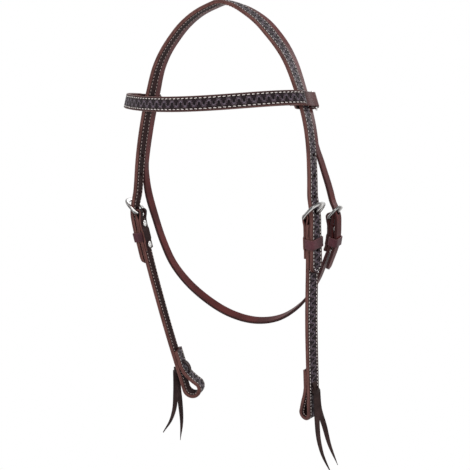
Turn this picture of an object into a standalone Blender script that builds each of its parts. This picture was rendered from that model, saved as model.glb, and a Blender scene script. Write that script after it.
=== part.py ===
"""A browband western headstall in doubled bridle leather, built from its separate pieces.

Metres, +Z up, X to the horse's left (the near side), -Y to the front. The origin is the middle of the
crown's flat underside, where it rests on the poll. Straps are laid along routes: a route gives, at each
distance along it, a point and the directions across the strap and outwards. A strap is a section swept
along a profile of places, each a distance along the route and an offset outwards from it.
"""

import math

import bmesh
import bpy
import numpy as np
from mathutils import Matrix, Vector

# Leather stock
STRAP_WIDTH = 0.01905
THROAT_WIDTH = 0.0127
LINING_THICKNESS = 0.0024
OVERLAY_THICKNESS = 0.0020
THROAT_THICKNESS = 0.0036
EDGE_ROUND = 0.0006
SEAT_GAP = 0.0003
STATION_STEP = 0.0135

# Crown arch and the line of the cheeks, seen from the front, on the near side
POLL_FLAT = 0.010
CROWN_HALF_WIDTH = 0.1258
CROWN_DROP = 0.215
HEEL_INSIDE_CROWN = 0.0013
HEEL_DROP = 0.2640
NEAR_SPLIT_DROP = 0.176
OFF_SPLIT_DROP = 0.200
CROWN_YAW_DEGREES = 5.0
CROWN_TURN_DEGREES = 3.0

# Cheekpieces
CHEEK_DROP = 0.248
CHEEK_SWEEP_IN = 0.0305
CHEEK_SWEEP_BACK = 0.068
CHEEK_LENGTH = 0.2605
NEAR_CHEEK_EXTRA = 0.0070

# Buckles
BUCKLE_WIDTH = 0.0325
BUCKLE_LENGTH = 0.0262
BUCKLE_WIRE = 0.0038
THROAT_BUCKLE_WIDTH = 0.0235
THROAT_BUCKLE_LENGTH = 0.0195
THROAT_BUCKLE_WIRE = 0.0032
BUCKLE_TILT_DEGREES = 41.0
TONGUE_WIDTH = 0.0030
TONGUE_DEPTH = 0.0024
TONGUE_OVERHANG = 0.0022
TONGUE_SLOT_ROOM = 0.0006
TONGUE_SWING_ROOM = 0.0010

# Folds, keepers and screws
FOLD_LENGTH = 0.050
THROAT_FOLD_LENGTH = 0.0458
KEEPER_START = 0.0245
KEEPER_HEIGHT = 0.0120
KEEPER_THICKNESS = 0.0016
THROAT_KEEPER_HEIGHT = 0.0110
SCREW_NEAR_BUCKLE = 0.0150
SCREW_BELOW_KEEPER = 0.0439
SCREW_HEAD = 0.0086
THROAT_SCREW_HEAD = 0.0076
SCREW_HEAD_THICKNESS = 0.0012
SCREW_POST = 0.0044
SCREW_CLEARANCE = 0.0003
SCREW_SEAT = 0.0004

# Billets
BILLET_BELOW_HEEL = 0.057
THROAT_BILLET_BELOW_HEEL = 0.062
TIP_LENGTH = 0.012
THROAT_TIP_LENGTH = 0.008
OVERLAY_SHORTER = 0.0015
HOLE_PITCH = 0.0245
LOWER_HOLE_DROP = 0.0392
HOLE_DIAMETER = 0.0042
HOLES_ABOVE_TONGUE = 3

# Bit loops and their ties
BIT_LOOP_RADIUS = 0.0057
BIT_LOOP_THROAT = 0.0275
BIT_RETURN_LENGTH = 0.069
TIE_WIDTH = 0.0065
TIE_THICKNESS = 0.0018
TIE_CORNER = 0.00144
TIE_FROM_LOOP_BOTTOM = 0.0405
KNOT_WIDTH = 0.0115
KNOT_DEPTH = 0.0060
KNOT_HEIGHT = 0.0105
KNOT_STAND = 0.0021
TAIL_SPACING = 0.0046
TAIL_LENGTH = 0.101
TAIL_CURL = 0.0185
TAIL_STAND_OFF = 0.0010
TAIL_TRAIL = 0.0200
TAIL_TURN_DEGREES = {"straight": 62.0, "trailing": 48.0}

# Browband
BROWBAND_WIDTH = 0.0180
BROWBAND_RETURN_WIDTH = 0.0166
BROWBAND_DROP = 0.1245
BROWBAND_TILT = 0.0019
BROWBAND_REACH = 0.104
BROWBAND_SAG = 0.0110
BROWBAND_SLIDE_ROOM = 0.0012
BROWBAND_TAIL = 0.046
LOOP_DEPTH = 0.0125
LOOP_WIRE = 0.0026
LOOP_CORNER = 0.0018
LOOP_SIDE_ROOM = 0.0005
LOOP_BEHIND_CROWN = 0.0009
TOOLING_STOPS_BEFORE_MIDDLE = 0.0048
RETURN_FOLD = 0.0110
RETURN_JOIN = 0.0140
RETURN_CLEAR = 0.0030
JOIN_ROOM = 0.0007

# Throatlatch, from the throat buckle under the jaw to the off side
THROAT_HEEL_OUTSIDE = 0.0090
THROAT_HEEL_BACK = 0.040
THROAT_DROP = 0.1385
THROAT_BACK = 0.042
THROAT_TURN_DEGREES = 28.0

# Outlines, as shares of the sizes above
CROWN_ARCH_SHARES = (
    (0.157, 0.157, 0.023),
    (0.299, 0.299, 0.075),
    (0.441, 0.441, 0.142),
    (0.551, 0.551, 0.212),
    (0.646, 0.646, 0.279),
    (0.720, 0.718, 0.344),
    (0.846, 0.829, 0.512),
    (0.949, 0.921, 0.707),
    (1.000, 0.990, 1.000),
)
CHEEK_LINE_SHARES = ((0.147, 0.162, 0.194), (0.506, 0.456, 0.520), (1.0, 0.941, 0.956), (1.19, 1.12, 1.12))
CHEEK_TURN_DEGREES = (5.0, 8.0, 10.0, 12.0, 12.0, 12.0)
NEAR_BILLET_SHARES = ((0.30, 0.38), (0.73, 0.88))
THROAT_LINE_SHARES = (
    (0.955, 0.22, 0.22),
    (0.865, 0.38, 0.39),
    (0.735, 0.62, 0.60),
    (0.496, 0.88, 0.84),
    (0.269, 0.98, 0.96),
    (0.015, 1.00, 1.00),
    (-0.276, 0.95, 0.95),
    (-0.537, 0.81, 0.80),
    (-0.735, 0.62, 0.63),
    (-0.880, 0.29, 0.35),
    (-0.955, 0.00, 0.06),
)
THROAT_RISE_SHARES = (0.60, 0.85, 0.60)
TIP_SHARES = ((0.35, 0.96), (0.62, 0.82), (0.84, 0.56), (0.96, 0.28))
BILLET_RISE_SHARES = ((-2.1, 0.0), (-1.5, 0.04), (-0.9, 0.22), (-0.45, 0.66), (0.0, 1.0), (0.5, 1.0))
FOLD_EASE_SHARES = ((3.4, 0.0), (2.4, 0.18), (1.3, 0.66))
KEEPER_EASE_SHARES = ((0.25, 0.0), (0.04, 1.0))
BIT_SETTLE_SHARES = ((0.55, 0.69), (0.85, 1.0), (1.05, 1.0))
BIT_STRAIGHT_SHARES = (0.5, 0.2)
TAIL_SHARES = {
    "straight": ((0.0, 0.0, 0.0), (0.0, 0.0, 0.33), (0.13, 0.0, 0.63), (0.36, 0.0, 0.78), (1.0, 0.0, 1.0)),
    "trailing": ((0.0, 0.0, 0.0), (0.05, 0.12, 0.22), (0.26, 0.5, 0.46), (0.48, 0.8, 0.7), (1.0, 1.0, 0.95)),
}
OFF_TAIL_REACH_SHARES = {"straight": (0.95, 0.90), "trailing": (0.45, 1.03)}
TAIL_WIDTH_SHARES = (1.0, 1.0, 0.96, 0.88, 0.74, 0.56, 0.36, 0.10)
FRAME_CORNER_SHARES = ((0.35, 0.03), (0.0, 0.12))
FRAME_SHOULDER_SHARE = 0.30
TONGUE_LINE_SHARES = ((0.35, 0.62), (0.65, 0.92), (1.0, 1.0))
SCREW_DOME_SHARES = ((0.30, 1.0), (0.46, 0.6), (0.50, 0.2), (0.48, 0.0))
KNOT_POLE_SHARE = 0.35
BUCKLE_OUTLINE_POWER = 2.6
WIRE_SIDES = 8
ROUND_SIDES = 8

# Offsets of the layers
HEEL_HALF_WIDTH = CROWN_HALF_WIDTH - HEEL_INSIDE_CROWN
CROWN_OUTER = LINING_THICKNESS + SEAT_GAP + OVERLAY_THICKNESS
OVERLAY_LIFT = LINING_THICKNESS / 2 + SEAT_GAP + OVERLAY_THICKNESS / 2
BROWBAND_OUT = CROWN_OUTER + BROWBAND_SLIDE_ROOM + LINING_THICKNESS + SEAT_GAP + LINING_THICKNESS / 2
REAR_MIDDLE = (STRAP_WIDTH + THROAT_WIDTH) / 2
SCREW_PLACES = {"upper": SCREW_NEAR_BUCKLE, "lower": SCREW_BELOW_KEEPER}
SIDE_NAMES = {1: "near", -1: "off"}
SHARP_DEGREES = 32.0

FINISHES = {
    "tooled": ((0.020, 0.014, 0.018), 0.50, 0.0),
    "lining": ((0.060, 0.022, 0.020), 0.45, 0.0),
    "plain": ((0.095, 0.028, 0.024), 0.40, 0.0),
    "lace": ((0.040, 0.018, 0.016), 0.50, 0.0),
    "steel": ((0.62, 0.62, 0.63), 0.22, 1.0),
}


def clear_scene():
    for item in list(bpy.data.objects):
        bpy.data.objects.remove(item, do_unlink=True)


def material(name, colour, roughness, metallic):
    made = bpy.data.materials.new(name)
    made.use_nodes = True
    surface = made.node_tree.nodes["Principled BSDF"]
    surface.inputs["Base Color"].default_value = (*colour, 1.0)
    surface.inputs["Roughness"].default_value = roughness
    surface.inputs["Metallic"].default_value = metallic
    made.diffuse_color = (*colour, 1.0)
    return made


def add_node(name, mesh, finish, place=None):
    """A finished solid as its own object and material. `place` gives its origin and axes, not its shape."""
    bmesh.ops.recalc_face_normals(mesh, faces=mesh.faces)
    data = bpy.data.meshes.new(name)
    mesh.to_mesh(data)
    mesh.free()
    data.materials.append(material(name + "_" + finish, *FINISHES[finish]))
    data.shade_smooth()
    data.set_sharp_from_angle(angle=math.radians(SHARP_DEGREES))
    made = bpy.data.objects.new(name, data)
    bpy.context.scene.collection.objects.link(made)
    if place:
        data.transform(place.inverted())
        made.matrix_world = place
    return made


def combine(target, name, mesh, operation):
    """Cuts a mesh from the target, or joins it on, with a Boolean whose other object stays hidden."""
    other = add_node(name, mesh, "steel")
    other.hide_render = True
    other.display_type = "WIRE"
    step = target.modifiers.new(name, "BOOLEAN")
    step.operation = operation
    step.solver = "EXACT"
    step.object = other


class Route:
    """A smooth line through points, each with the direction across the strap there."""

    def __init__(self, keys, start_key=0, samples=14, flat=0.0):
        self.flat = flat
        self.samples = samples
        keys = np.array(keys, float)
        chords = np.linalg.norm(np.diff(keys[:, :3], axis=0), axis=1)
        knots = np.concatenate([[0.0], np.cumsum(chords)])
        slopes = np.gradient(keys, knots, axis=0)
        rows = []
        for i, chord in enumerate(chords):
            for t in np.arange(samples) / samples:
                rows.append(
                    (2 * t**3 - 3 * t**2 + 1) * keys[i]
                    + (t**3 - 2 * t**2 + t) * chord * slopes[i]
                    + (3 * t**2 - 2 * t**3) * keys[i + 1]
                    + (t**3 - t**2) * chord * slopes[i + 1]
                )
        rows.append(keys[-1])
        self.rows = np.array(rows)
        steps = np.linalg.norm(np.diff(self.rows[:, :3], axis=0), axis=1)
        self.distance = np.concatenate([[0.0], np.cumsum(steps)])
        self.distance -= self.distance[start_key * samples]
        self.slopes = np.gradient(self.rows[:, :3], self.distance, axis=0)

    def frame(self, distance):
        """The point, and the directions along, across and outwards."""
        inside = min(max(distance, self.distance[0]), self.distance[-1])
        if abs(distance) <= self.flat / 2:
            inside = 0.0
        row = np.array([np.interp(inside, self.distance, column) for column in self.rows.T])
        along = np.array([np.interp(inside, self.distance, column) for column in self.slopes.T])
        along /= np.linalg.norm(along)
        across = row[3:] - along * (row[3:] @ along)
        across /= np.linalg.norm(across)
        return row[:3] + along * (distance - inside), along, across, np.cross(along, across)

    def place(self, distance, sideways=0.0, outwards=0.0):
        point, _, across, out = self.frame(distance)
        return Vector(point + across * sideways + out * outwards)

    def matrix(self, distance):
        """Axes across, back along the route, and outwards, with the origin on the route."""
        point, along, across, out = self.frame(distance)
        rows = np.stack([across, -along, out, point], axis=1)
        return Matrix([*rows.tolist(), [0, 0, 0, 1]])

    def key_distance(self, index):
        """The distance at one of the keys that the route was made from."""
        return self.distance[:: self.samples][index]

    def distance_at_drop(self, drop):
        """The first distance past the start at which the route is this far below the origin."""
        drops = -self.rows[:, 2]
        i = int(np.argmax((self.distance > 0) & (drops >= drop)))
        share = (drop - drops[i - 1]) / (drops[i] - drops[i - 1])
        return self.distance[i - 1] + (self.distance[i] - self.distance[i - 1]) * share

    def nearest(self, point):
        """The distance at which the route passes closest to a point."""
        gaps = np.array(point) - self.rows[:, :3]
        i = int(np.argmin(np.linalg.norm(gaps, axis=1)))
        return self.distance[i] + gaps[i] @ self.slopes[i]


def crown_route():
    """Over the poll and down both cheeks, with distances negative on the off side."""
    heel = (HEEL_HALF_WIDTH, 0.0, -HEEL_DROP)
    cheek = [
        (HEEL_HALF_WIDTH - x * CHEEK_SWEEP_IN, y * CHEEK_SWEEP_BACK, -HEEL_DROP - z * CHEEK_DROP)
        for x, y, z in CHEEK_LINE_SHARES
    ]
    count = len(CROWN_ARCH_SHARES)
    turns = [CROWN_TURN_DEGREES] * (count - 1) + list(CHEEK_TURN_DEGREES)
    yaws = [CROWN_YAW_DEGREES] * count + [CROWN_YAW_DEGREES / 2] + [0.0] * len(cheek)
    halves = []
    for side in (1, -1):
        widths = [near if side > 0 else off for near, off, _ in CROWN_ARCH_SHARES]
        drops = [z * CROWN_DROP for _, _, z in CROWN_ARCH_SHARES]
        arch = [(x * CROWN_HALF_WIDTH, 0.0, -z) for x, z in zip(widths, drops)]
        points = arch + [heel] + cheek
        keys = []
        for (x, y, z), degrees, yaw in zip(points, turns, yaws):
            turn = math.radians(side * degrees - yaw)
            keys.append((side * x, y, z, math.sin(turn), math.cos(turn), 0.0))
        halves.append(keys)
    yaw = math.radians(CROWN_YAW_DEGREES)
    apex = (0.0, 0.0, 0.0, -math.sin(yaw), math.cos(yaw), 0.0)
    near, off = halves
    return Route(off[::-1] + [apex] + near, start_key=len(near), flat=POLL_FLAT)


CROWN = crown_route()
HEEL = CROWN.distance_at_drop(HEEL_DROP)
NEAR_SPLIT = CROWN.distance_at_drop(NEAR_SPLIT_DROP)
OFF_SPLIT = CROWN.distance_at_drop(OFF_SPLIT_DROP)


def between(first, second, shares):
    return [a + (b - a) * share for a, b, share in zip(first, second, shares)]


def throat_route():
    """From the near split past the throat buckle, under the jaw and up to the off split."""

    def crown_key(distance):
        return (*CROWN.place(distance, REAR_MIDDLE), *CROWN.frame(distance)[2])

    keys = [crown_key(NEAR_SPLIT - STATION_STEP), crown_key(NEAR_SPLIT)]
    half = HEEL_HALF_WIDTH + THROAT_HEEL_OUTSIDE
    heel = (half, THROAT_HEEL_BACK, -HEEL_DROP)
    split = keys[-1]
    for down, back in NEAR_BILLET_SHARES:
        keys.append((*between(split, heel, (back, back, down)), 0.0, 1.0, 0.0))
    keys.append((*heel, 0.0, 1.0, 0.0))
    start = len(keys) - 1
    for x, y, z in THROAT_LINE_SHARES:
        turn = math.radians(THROAT_TURN_DEGREES) * math.sin(math.pi / 2 * z)
        middle = (x * half, heel[1] + y * THROAT_BACK, heel[2] - z * THROAT_DROP)
        keys.append((*middle, 0.0, math.cos(turn), math.sin(turn)))
    split = crown_key(-OFF_SPLIT)
    keys.append((*between(keys[-1], split, THROAT_RISE_SHARES), 0.0, 1.0, 0.0))
    keys += [split, crown_key(STATION_STEP - OFF_SPLIT)]
    return Route(keys, start_key=start)


THROAT = throat_route()
THROAT_NEAR_SPLIT = THROAT.key_distance(1)
THROAT_OFF_SPLIT = THROAT.key_distance(-2)


def browband_crossing(side):
    """Where the browband's middle crosses the crown, a little lower on the near side."""
    return side * CROWN.distance_at_drop(BROWBAND_DROP + side * BROWBAND_TILT)


def browband_route():
    """From behind the crown on the off side round the brow to the near side, with the width upwards."""
    ends = {}
    for side in (1, -1):
        crossing = browband_crossing(side)
        up = CROWN.frame(crossing)[1] * -side
        backs = (0.0, BROWBAND_TAIL / 2, BROWBAND_TAIL)
        ends[side] = [(*CROWN.place(crossing, back, BROWBAND_OUT), *up) for back in backs]
    near, off = ends[1][0], ends[-1][0]
    lean = math.asin(abs(near[3]))
    steps = 9
    brow = []
    for i in range(1, 2 * steps):
        angle = math.pi * i / (2 * steps)
        across = -math.cos(angle)
        level = (near[2] + off[2] + (near[2] - off[2]) * across) / 2
        drop = level - BROWBAND_SAG * math.sin(angle) ** 2
        turn = lean * across
        middle = (near[0] * across, -BROWBAND_REACH * math.sin(angle), drop)
        brow.append((*middle, -math.sin(turn), 0.0, math.cos(turn)))
    return Route(ends[-1][::-1] + brow + ends[1], start_key=len(ends[-1]) + steps - 1)


BROWBAND = browband_route()
BROWBAND_SLIDE = Matrix.Translation(BROWBAND.place(0.0))


def spread(points, step):
    """Evenly spaced places along a smooth line through (distance, offset) points."""
    route = Route([(a, b, 0.0, 0.0, 0.0, 1.0) for a, b in points])
    count = max(2, round(route.distance[-1] / step))
    return [tuple(route.place(d)[:2]) for d in np.linspace(0.0, route.distance[-1], count + 1)]


def arc(centre, radius, start_degrees, end_degrees, steps):
    """Places round a centre, where 0 degrees is outwards and 90 degrees is forward along the route."""
    places = []
    for angle in np.radians(np.linspace(start_degrees, end_degrees, steps + 1)):
        places.append((centre[0] + radius * math.sin(angle), centre[1] + radius * math.cos(angle)))
    return places


def sides_of(profile):
    """For each place of a profile, the direction out of the strap's upper face."""
    points = np.array(profile, float)
    steps = np.gradient(points, axis=0)
    steps /= np.linalg.norm(steps, axis=1)[:, None]
    return np.stack([-steps[:, 1], steps[:, 0]], axis=1)


def lifted(profile, amount):
    """The profile of a layer that lies this far above another's middle."""
    return [(s + a * amount, n + b * amount) for (s, n), (a, b) in zip(profile, sides_of(profile))]


def section(width, thickness, edge=EDGE_ROUND, upper_only=False):
    """Corners of the section as (across, up), with a small flat on each edge."""
    w, t = width / 2, thickness / 2
    e = min(edge, t / 2, w / 2)
    if upper_only:
        return [(w - e, t), (w, t - e), (w, -t), (-w, -t), (-w, t - e), (e - w, t)]
    right = [(w - e, t), (w, t - e), (w, e - t), (w - e, -t)]
    return right + [(-a, -b) for a, b in right]


def ring(mesh, route, place, side, corners):
    """One ring of corners round a place of a profile, with the section's upper face turned to `side`."""
    return [
        mesh.verts.new(route.place(place[0] + side[0] * up, across, place[1] + side[1] * up))
        for across, up in corners
    ]


def loft(mesh, rings, closed=False):
    """Faces between rings of corners, with both ends closed unless the rings go round."""
    pairs = list(zip(rings, rings[1:]))
    if closed:
        pairs.append((rings[-1], rings[0]))
    else:
        mesh.faces.new(rings[0])
        mesh.faces.new(rings[-1])
    join_rings(mesh, pairs)


def join_rings(mesh, pairs):
    for first, second in pairs:
        for i in range(len(first)):
            j = (i + 1) % len(first)
            mesh.faces.new((first[i], first[j], second[j], second[i]))


def with_tip(profile, length):
    """(place, share of the width) along a profile, with a rounded tip added at its end."""
    (s0, n0), (s1, n1) = profile[-2:]
    reach = math.hypot(s1 - s0, n1 - n0)
    rows = [(place, 1.0) for place in profile]
    for out, share in TIP_SHARES:
        step = length * out / reach
        rows.append(((s1 + (s1 - s0) * step, n1 + (n1 - n0) * step), share))
    return rows


def strap_mesh(route, profile, width, thickness, widths=None):
    """A strap along a profile, with a share of the width for each place where `widths` gives them."""
    mesh = bmesh.new()
    rings = []
    for place, side, share in zip(profile, sides_of(profile), widths or [1.0] * len(profile)):
        corners = section(width * share, thickness, upper_only=thickness == OVERLAY_THICKNESS)
        rings.append(ring(mesh, route, place, side, corners))
    loft(mesh, rings)
    return mesh


def turned(mesh, place, outline, sides=ROUND_SIDES):
    """A closed solid turned round the third axis, from (radius, height) pairs."""
    turns = [(math.cos(a), math.sin(a)) for a in np.arange(sides) * 2 * math.pi / sides]
    rings = []
    for radius, height in outline:
        rings.append([mesh.verts.new(place @ Vector((radius * x, radius * y, height))) for x, y in turns])
    loft(mesh, rings)


def cylinder(mesh, place, radius, start, end):
    turned(mesh, place, [(radius, start), (radius, end)])


def box(mesh, place, low, high):
    rings = []
    for z in (low[2], high[2]):
        corners = ((low[0], low[1]), (high[0], low[1]), (high[0], high[1]), (low[0], high[1]))
        rings.append([mesh.verts.new(place @ Vector((x, y, z))) for x, y in corners])
    loft(mesh, rings)


def closed_sweep(mesh, points, axis, corners):
    """A closed loop of a section: the points go round, and the axis is what the loop goes round."""
    axis = axis.normalized()
    rings = []
    for i, point in enumerate(points):
        along = (points[(i + 1) % len(points)] - points[i - 1]).normalized()
        out = along.cross(axis).normalized()
        rings.append([mesh.verts.new(point + axis * a + out * b) for a, b in corners])
    loft(mesh, rings, closed=True)


def round_section(diameter):
    angles = np.arange(WIRE_SIDES) * 2 * math.pi / WIRE_SIDES
    return [(diameter / 2 * math.cos(a), diameter / 2 * math.sin(a)) for a in angles]


def rounded_rectangle(low, high, corner, steps=2):
    """Points round a rectangle with round corners, anticlockwise."""
    middles = (
        (high[0] - corner, high[1] - corner, 0),
        (low[0] + corner, high[1] - corner, 90),
        (low[0] + corner, low[1] + corner, 180),
        (high[0] - corner, low[1] + corner, 270),
    )
    places = []
    for x, y, start in middles:
        for i in range(steps + 1):
            angle = math.radians(start + 90 * i / steps)
            places.append((x + corner * math.cos(angle), y + corner * math.sin(angle)))
    return places


class Fold:
    """A strap folded round a buckle's heel bar, with the keeper held in the fold and the billet outside it.

    Places are given as a distance below the heel bar, and an offset outwards from the bar's centre.
    """

    def __init__(self, route, heel, sense, stock, buckle, keeper_height):
        self.route, self.heel, self.sense = route, heel, sense
        self.thickness, self.overlay, self.width = stock
        self.wire, self.frame_width, self.frame_length = buckle
        self.keeper_height = keeper_height
        self.bend = self.wire / 2 + SEAT_GAP + self.thickness / 2
        self.part = KEEPER_THICKNESS / 2 + SEAT_GAP + self.thickness / 2
        self.face = self.part + self.thickness / 2
        self.shut = (SEAT_GAP + self.thickness) / 2
        self.clamped = self.shut + self.thickness / 2
        cover = self.overlay + SEAT_GAP if self.overlay else SCREW_SEAT + SCREW_HEAD_THICKNESS
        self.billet_inner = self.face + cover + SEAT_GAP

    def at(self, below):
        return self.heel + self.sense * below

    def matrix(self, below=0.0):
        """Axes across, up the strap towards the buckle, and outwards."""
        place = self.route.matrix(self.at(below))
        if self.sense < 0:
            place = place @ Matrix.Diagonal((-1.0, -1.0, 1.0, 1.0))
        return place

    def frame_matrix(self):
        """The same at the heel bar, turned so that the second axis runs up the tilted frame."""
        return self.matrix() @ Matrix.Rotation(math.radians(BUCKLE_TILT_DEGREES), 4, "X")

    def along(self, places):
        return [(self.at(below), out) for below, out in places]

    def folded(self, length):
        """From the turned-back end, up the inner side, round the heel bar and down to the same distance.

        The two layers lie together except round the bar and where the keeper passes between them.
        """
        low = KEEPER_START + self.keeper_height
        inner = [(length, self.shut)]
        for reach, share in KEEPER_EASE_SHARES:
            away = self.shut + (self.part - self.shut) * share
            inner.append((low + reach * self.keeper_height, away))
        for reach, share in reversed(KEEPER_EASE_SHARES):
            opened = self.shut + (self.part - self.shut) * share
            inner.append((KEEPER_START - reach * self.keeper_height, opened))
        for reach, share in FOLD_EASE_SHARES:
            inner.append((reach * self.bend, between((self.shut,), (self.bend,), (share,))[0]))
        outer = inner[::-1]
        inner = [(below, -out) for below, out in inner]
        return inner + arc((0.0, 0.0), self.bend, -180, 0, 8) + outer

    def billet(self, thickness, start, reach):
        """The billet's middle, from above the buckle, inside the end bar, over the heel bar and down."""
        rest = thickness / 2
        lift = self.billet_inner
        bend = [(below * self.frame_length, rest + lift * share) for below, share in BILLET_RISE_SHARES]
        high = spread([(start, rest), ((start + bend[0][0]) / 2, rest), bend[0]], STATION_STEP)
        low = spread([bend[-1], (reach, bend[-1][1])], STATION_STEP)
        return high + spread(bend, STATION_STEP / 3)[1:] + low[1:]


def crown_fold(side):
    stock = (LINING_THICKNESS, OVERLAY_THICKNESS, STRAP_WIDTH)
    return Fold(CROWN, side * HEEL, side, stock, (BUCKLE_WIRE, BUCKLE_WIDTH, BUCKLE_LENGTH), KEEPER_HEIGHT)


def throat_fold():
    stock = (THROAT_THICKNESS, 0.0, THROAT_WIDTH)
    buckle = (THROAT_BUCKLE_WIRE, THROAT_BUCKLE_WIDTH, THROAT_BUCKLE_LENGTH)
    return Fold(THROAT, 0.0, 1, stock, buckle, THROAT_KEEPER_HEIGHT)


def buckle_frame(name, fold):
    """A wire frame: a straight heel bar, and sides that swell into a rounded end, closed into one loop."""
    half = (fold.frame_width - fold.wire) / 2
    length = fold.frame_length - fold.wire
    corner = [(half - fold.wire * x, length * y) for x, y in FRAME_CORNER_SHARES]
    bar = [(x, 0.0) for x in np.linspace(half - fold.wire, fold.wire - half, 4)]
    outline = bar + [(-x, y) for x, y in corner]
    power = 2 / BUCKLE_OUTLINE_POWER
    for angle in np.linspace(math.pi, 0.0, 17):
        x = math.copysign(abs(math.cos(angle)) ** power, math.cos(angle))
        y = FRAME_SHOULDER_SHARE + (1 - FRAME_SHOULDER_SHARE) * abs(math.sin(angle)) ** power
        outline.append((half * x, length * y))
    outline += corner[::-1]
    place = fold.frame_matrix()
    points = [place @ Vector((x, y, 0.0)) for x, y in outline]
    mesh = bmesh.new()
    closed_sweep(mesh, points, place.to_3x3() @ Vector((0.0, 0.0, 1.0)), round_section(fold.wire))
    return add_node(name, mesh, "steel", fold.matrix())


def tongue_rise(fold):
    """How far the tongue's middle stands off the frame where it rests on the end bar."""
    return fold.wire / 2 + SEAT_GAP + TONGUE_DEPTH / 2


def buckle_tongue(name, fold):
    """A flat tongue rolled round the heel bar, which crosses the billet and rests on the end bar."""
    end = fold.frame_length - fold.wire
    rise = tongue_rise(fold)
    bore = fold.wire / 2 + SEAT_GAP
    eye = bore + TONGUE_DEPTH * 0.7
    half = TONGUE_DEPTH / 2
    middle = [(eye * 0.8, eye * 0.3)] + [(end * y, rise * z) for y, z in TONGUE_LINE_SHARES]
    middle.append((end + TONGUE_OVERHANG, rise - half / 2))
    upper = [(y, z + half) for y, z in middle]
    lower = [(y, z - half) for y, z in middle]
    tip = (end + TONGUE_OVERHANG + half, rise - half)
    start = math.atan2(upper[0][1], upper[0][0])
    turn = 2 * math.pi - start + math.atan2(lower[0][1], lower[0][0])
    steps = 12
    angles = [start + turn * i / steps for i in range(steps + 1)]
    outline = [(eye * math.cos(a), eye * math.sin(a)) for a in angles] + lower[1:] + [tip] + upper[:0:-1]
    place = fold.frame_matrix()
    mesh = bmesh.new()
    rings = []
    for x in (-TONGUE_WIDTH / 2, TONGUE_WIDTH / 2):
        rings.append([mesh.verts.new(place @ Vector((x, y, z))) for y, z in outline])
    loft(mesh, rings)
    made = add_node(name, mesh, "steel", fold.matrix())
    cut = bmesh.new()
    cylinder(cut, place @ Matrix.Rotation(math.pi / 2, 4, "Y"), bore, -TONGUE_WIDTH, TONGUE_WIDTH)
    combine(made, "cut_" + name, cut, "DIFFERENCE")


def cut_tongue_passage(mesh, fold):
    """Cutter: the slanted hole that the tongue makes through the billet, with room for its swing."""
    end = fold.frame_length - fold.wire
    lean = math.atan2(tongue_rise(fold) * 1.5, end)
    place = fold.frame_matrix() @ Matrix.Rotation(lean - math.pi / 2, 4, "X")
    radius = math.hypot(TONGUE_WIDTH, TONGUE_DEPTH) / 2 + TONGUE_SWING_ROOM
    cylinder(mesh, place, radius, fold.wire / 2, fold.frame_length + fold.wire)


def cut_punched_holes(mesh, fold, lift):
    """Cutter: the holes punched square through a billet, above the tongue and one below it."""
    places = [(-HOLE_PITCH * (i + 1), lift) for i in range(HOLES_ABOVE_TONGUE)]
    places.append((LOWER_HOLE_DROP, fold.billet_inner + lift))
    for below, out in places:
        cylinder(mesh, fold.matrix(below), HOLE_DIAMETER / 2, out - HOLE_DIAMETER, out + HOLE_DIAMETER)


def cut_tongue_slot(mesh, fold):
    """Cutter: the slot in the fold, where the tongue's eye goes round the heel bar."""
    half = TONGUE_WIDTH / 2 + TONGUE_SLOT_ROOM
    reach = fold.bend + fold.thickness
    box(mesh, fold.matrix(), (-half, -reach, -reach), (half, reach, reach))


def cut_screw_holes(mesh, fold):
    """Cutter: the holes for the screws' posts, which open wider where a head sits on the tooled layer."""
    for below in SCREW_PLACES.values():
        reach = fold.clamped + SCREW_HEAD / 3
        bore = SCREW_POST / 2 + SCREW_CLEARANCE
        cylinder(mesh, fold.matrix(below), bore, -fold.clamped - SCREW_HEAD, reach)


def cut_screw_seats(mesh, fold):
    for below in SCREW_PLACES.values():
        radius = SCREW_HEAD / 2 + SCREW_CLEARANCE
        inner_face = fold.clamped - SEAT_GAP / 2
        cylinder(mesh, fold.matrix(below), radius, inner_face, fold.clamped + SCREW_HEAD / 2)


def cutter(cut, *folds):
    mesh = bmesh.new()
    for fold in folds:
        cut(mesh, fold)
    return mesh


def keeper(name, fold):
    """A leather band round the billet, whose inner run lies between the folded layers."""
    billet = CROWN_OUTER if fold.overlay else THROAT_THICKNESS
    half = fold.width / 2 + SEAT_GAP + KEEPER_THICKNESS / 2
    high = fold.billet_inner + billet + SEAT_GAP + KEEPER_THICKNESS / 2
    place = fold.matrix(KEEPER_START + fold.keeper_height / 2)
    outline = rounded_rectangle((-half, 0.0), (half, high), KEEPER_THICKNESS * 0.75)
    points = [place @ Vector((x, 0.0, z)) for x, z in outline]
    mesh = bmesh.new()
    corners = section(fold.keeper_height, KEEPER_THICKNESS, EDGE_ROUND / 2)
    closed_sweep(mesh, points, place.to_3x3() @ Vector((0.0, 1.0, 0.0)), corners)
    add_node(name, mesh, "plain")


def chicago_screw(name, fold, below, head):
    """Two flat domed heads on one post, through both layers of a fold."""
    seat = fold.clamped + SCREW_SEAT
    outer = [(head * r, seat + SCREW_HEAD_THICKNESS * z) for r, z in SCREW_DOME_SHARES]
    outer.append((SCREW_POST / 2, seat))
    mesh = bmesh.new()
    turned(mesh, fold.matrix(below), [(r, -z) for r, z in outer] + outer[::-1])
    add_node(name, mesh, "steel")


def fasten(prefix, suffix, fold, screw_head):
    """The buckle, its tongue, the keeper and the two screws of one fold."""
    buckle_frame(prefix + "_buckle" + suffix, fold)
    buckle_tongue(prefix + "_tongue" + suffix, fold)
    keeper(prefix + "_keeper" + suffix, fold)
    for label, below in SCREW_PLACES.items():
        chicago_screw(prefix + "_screw_" + label + suffix, fold, below, screw_head)


def cheek_length(side):
    """How far the bit loop hangs below the heel bar, along the strap."""
    return CHEEK_LENGTH + (NEAR_CHEEK_EXTRA if side > 0 else 0.0)


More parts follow.
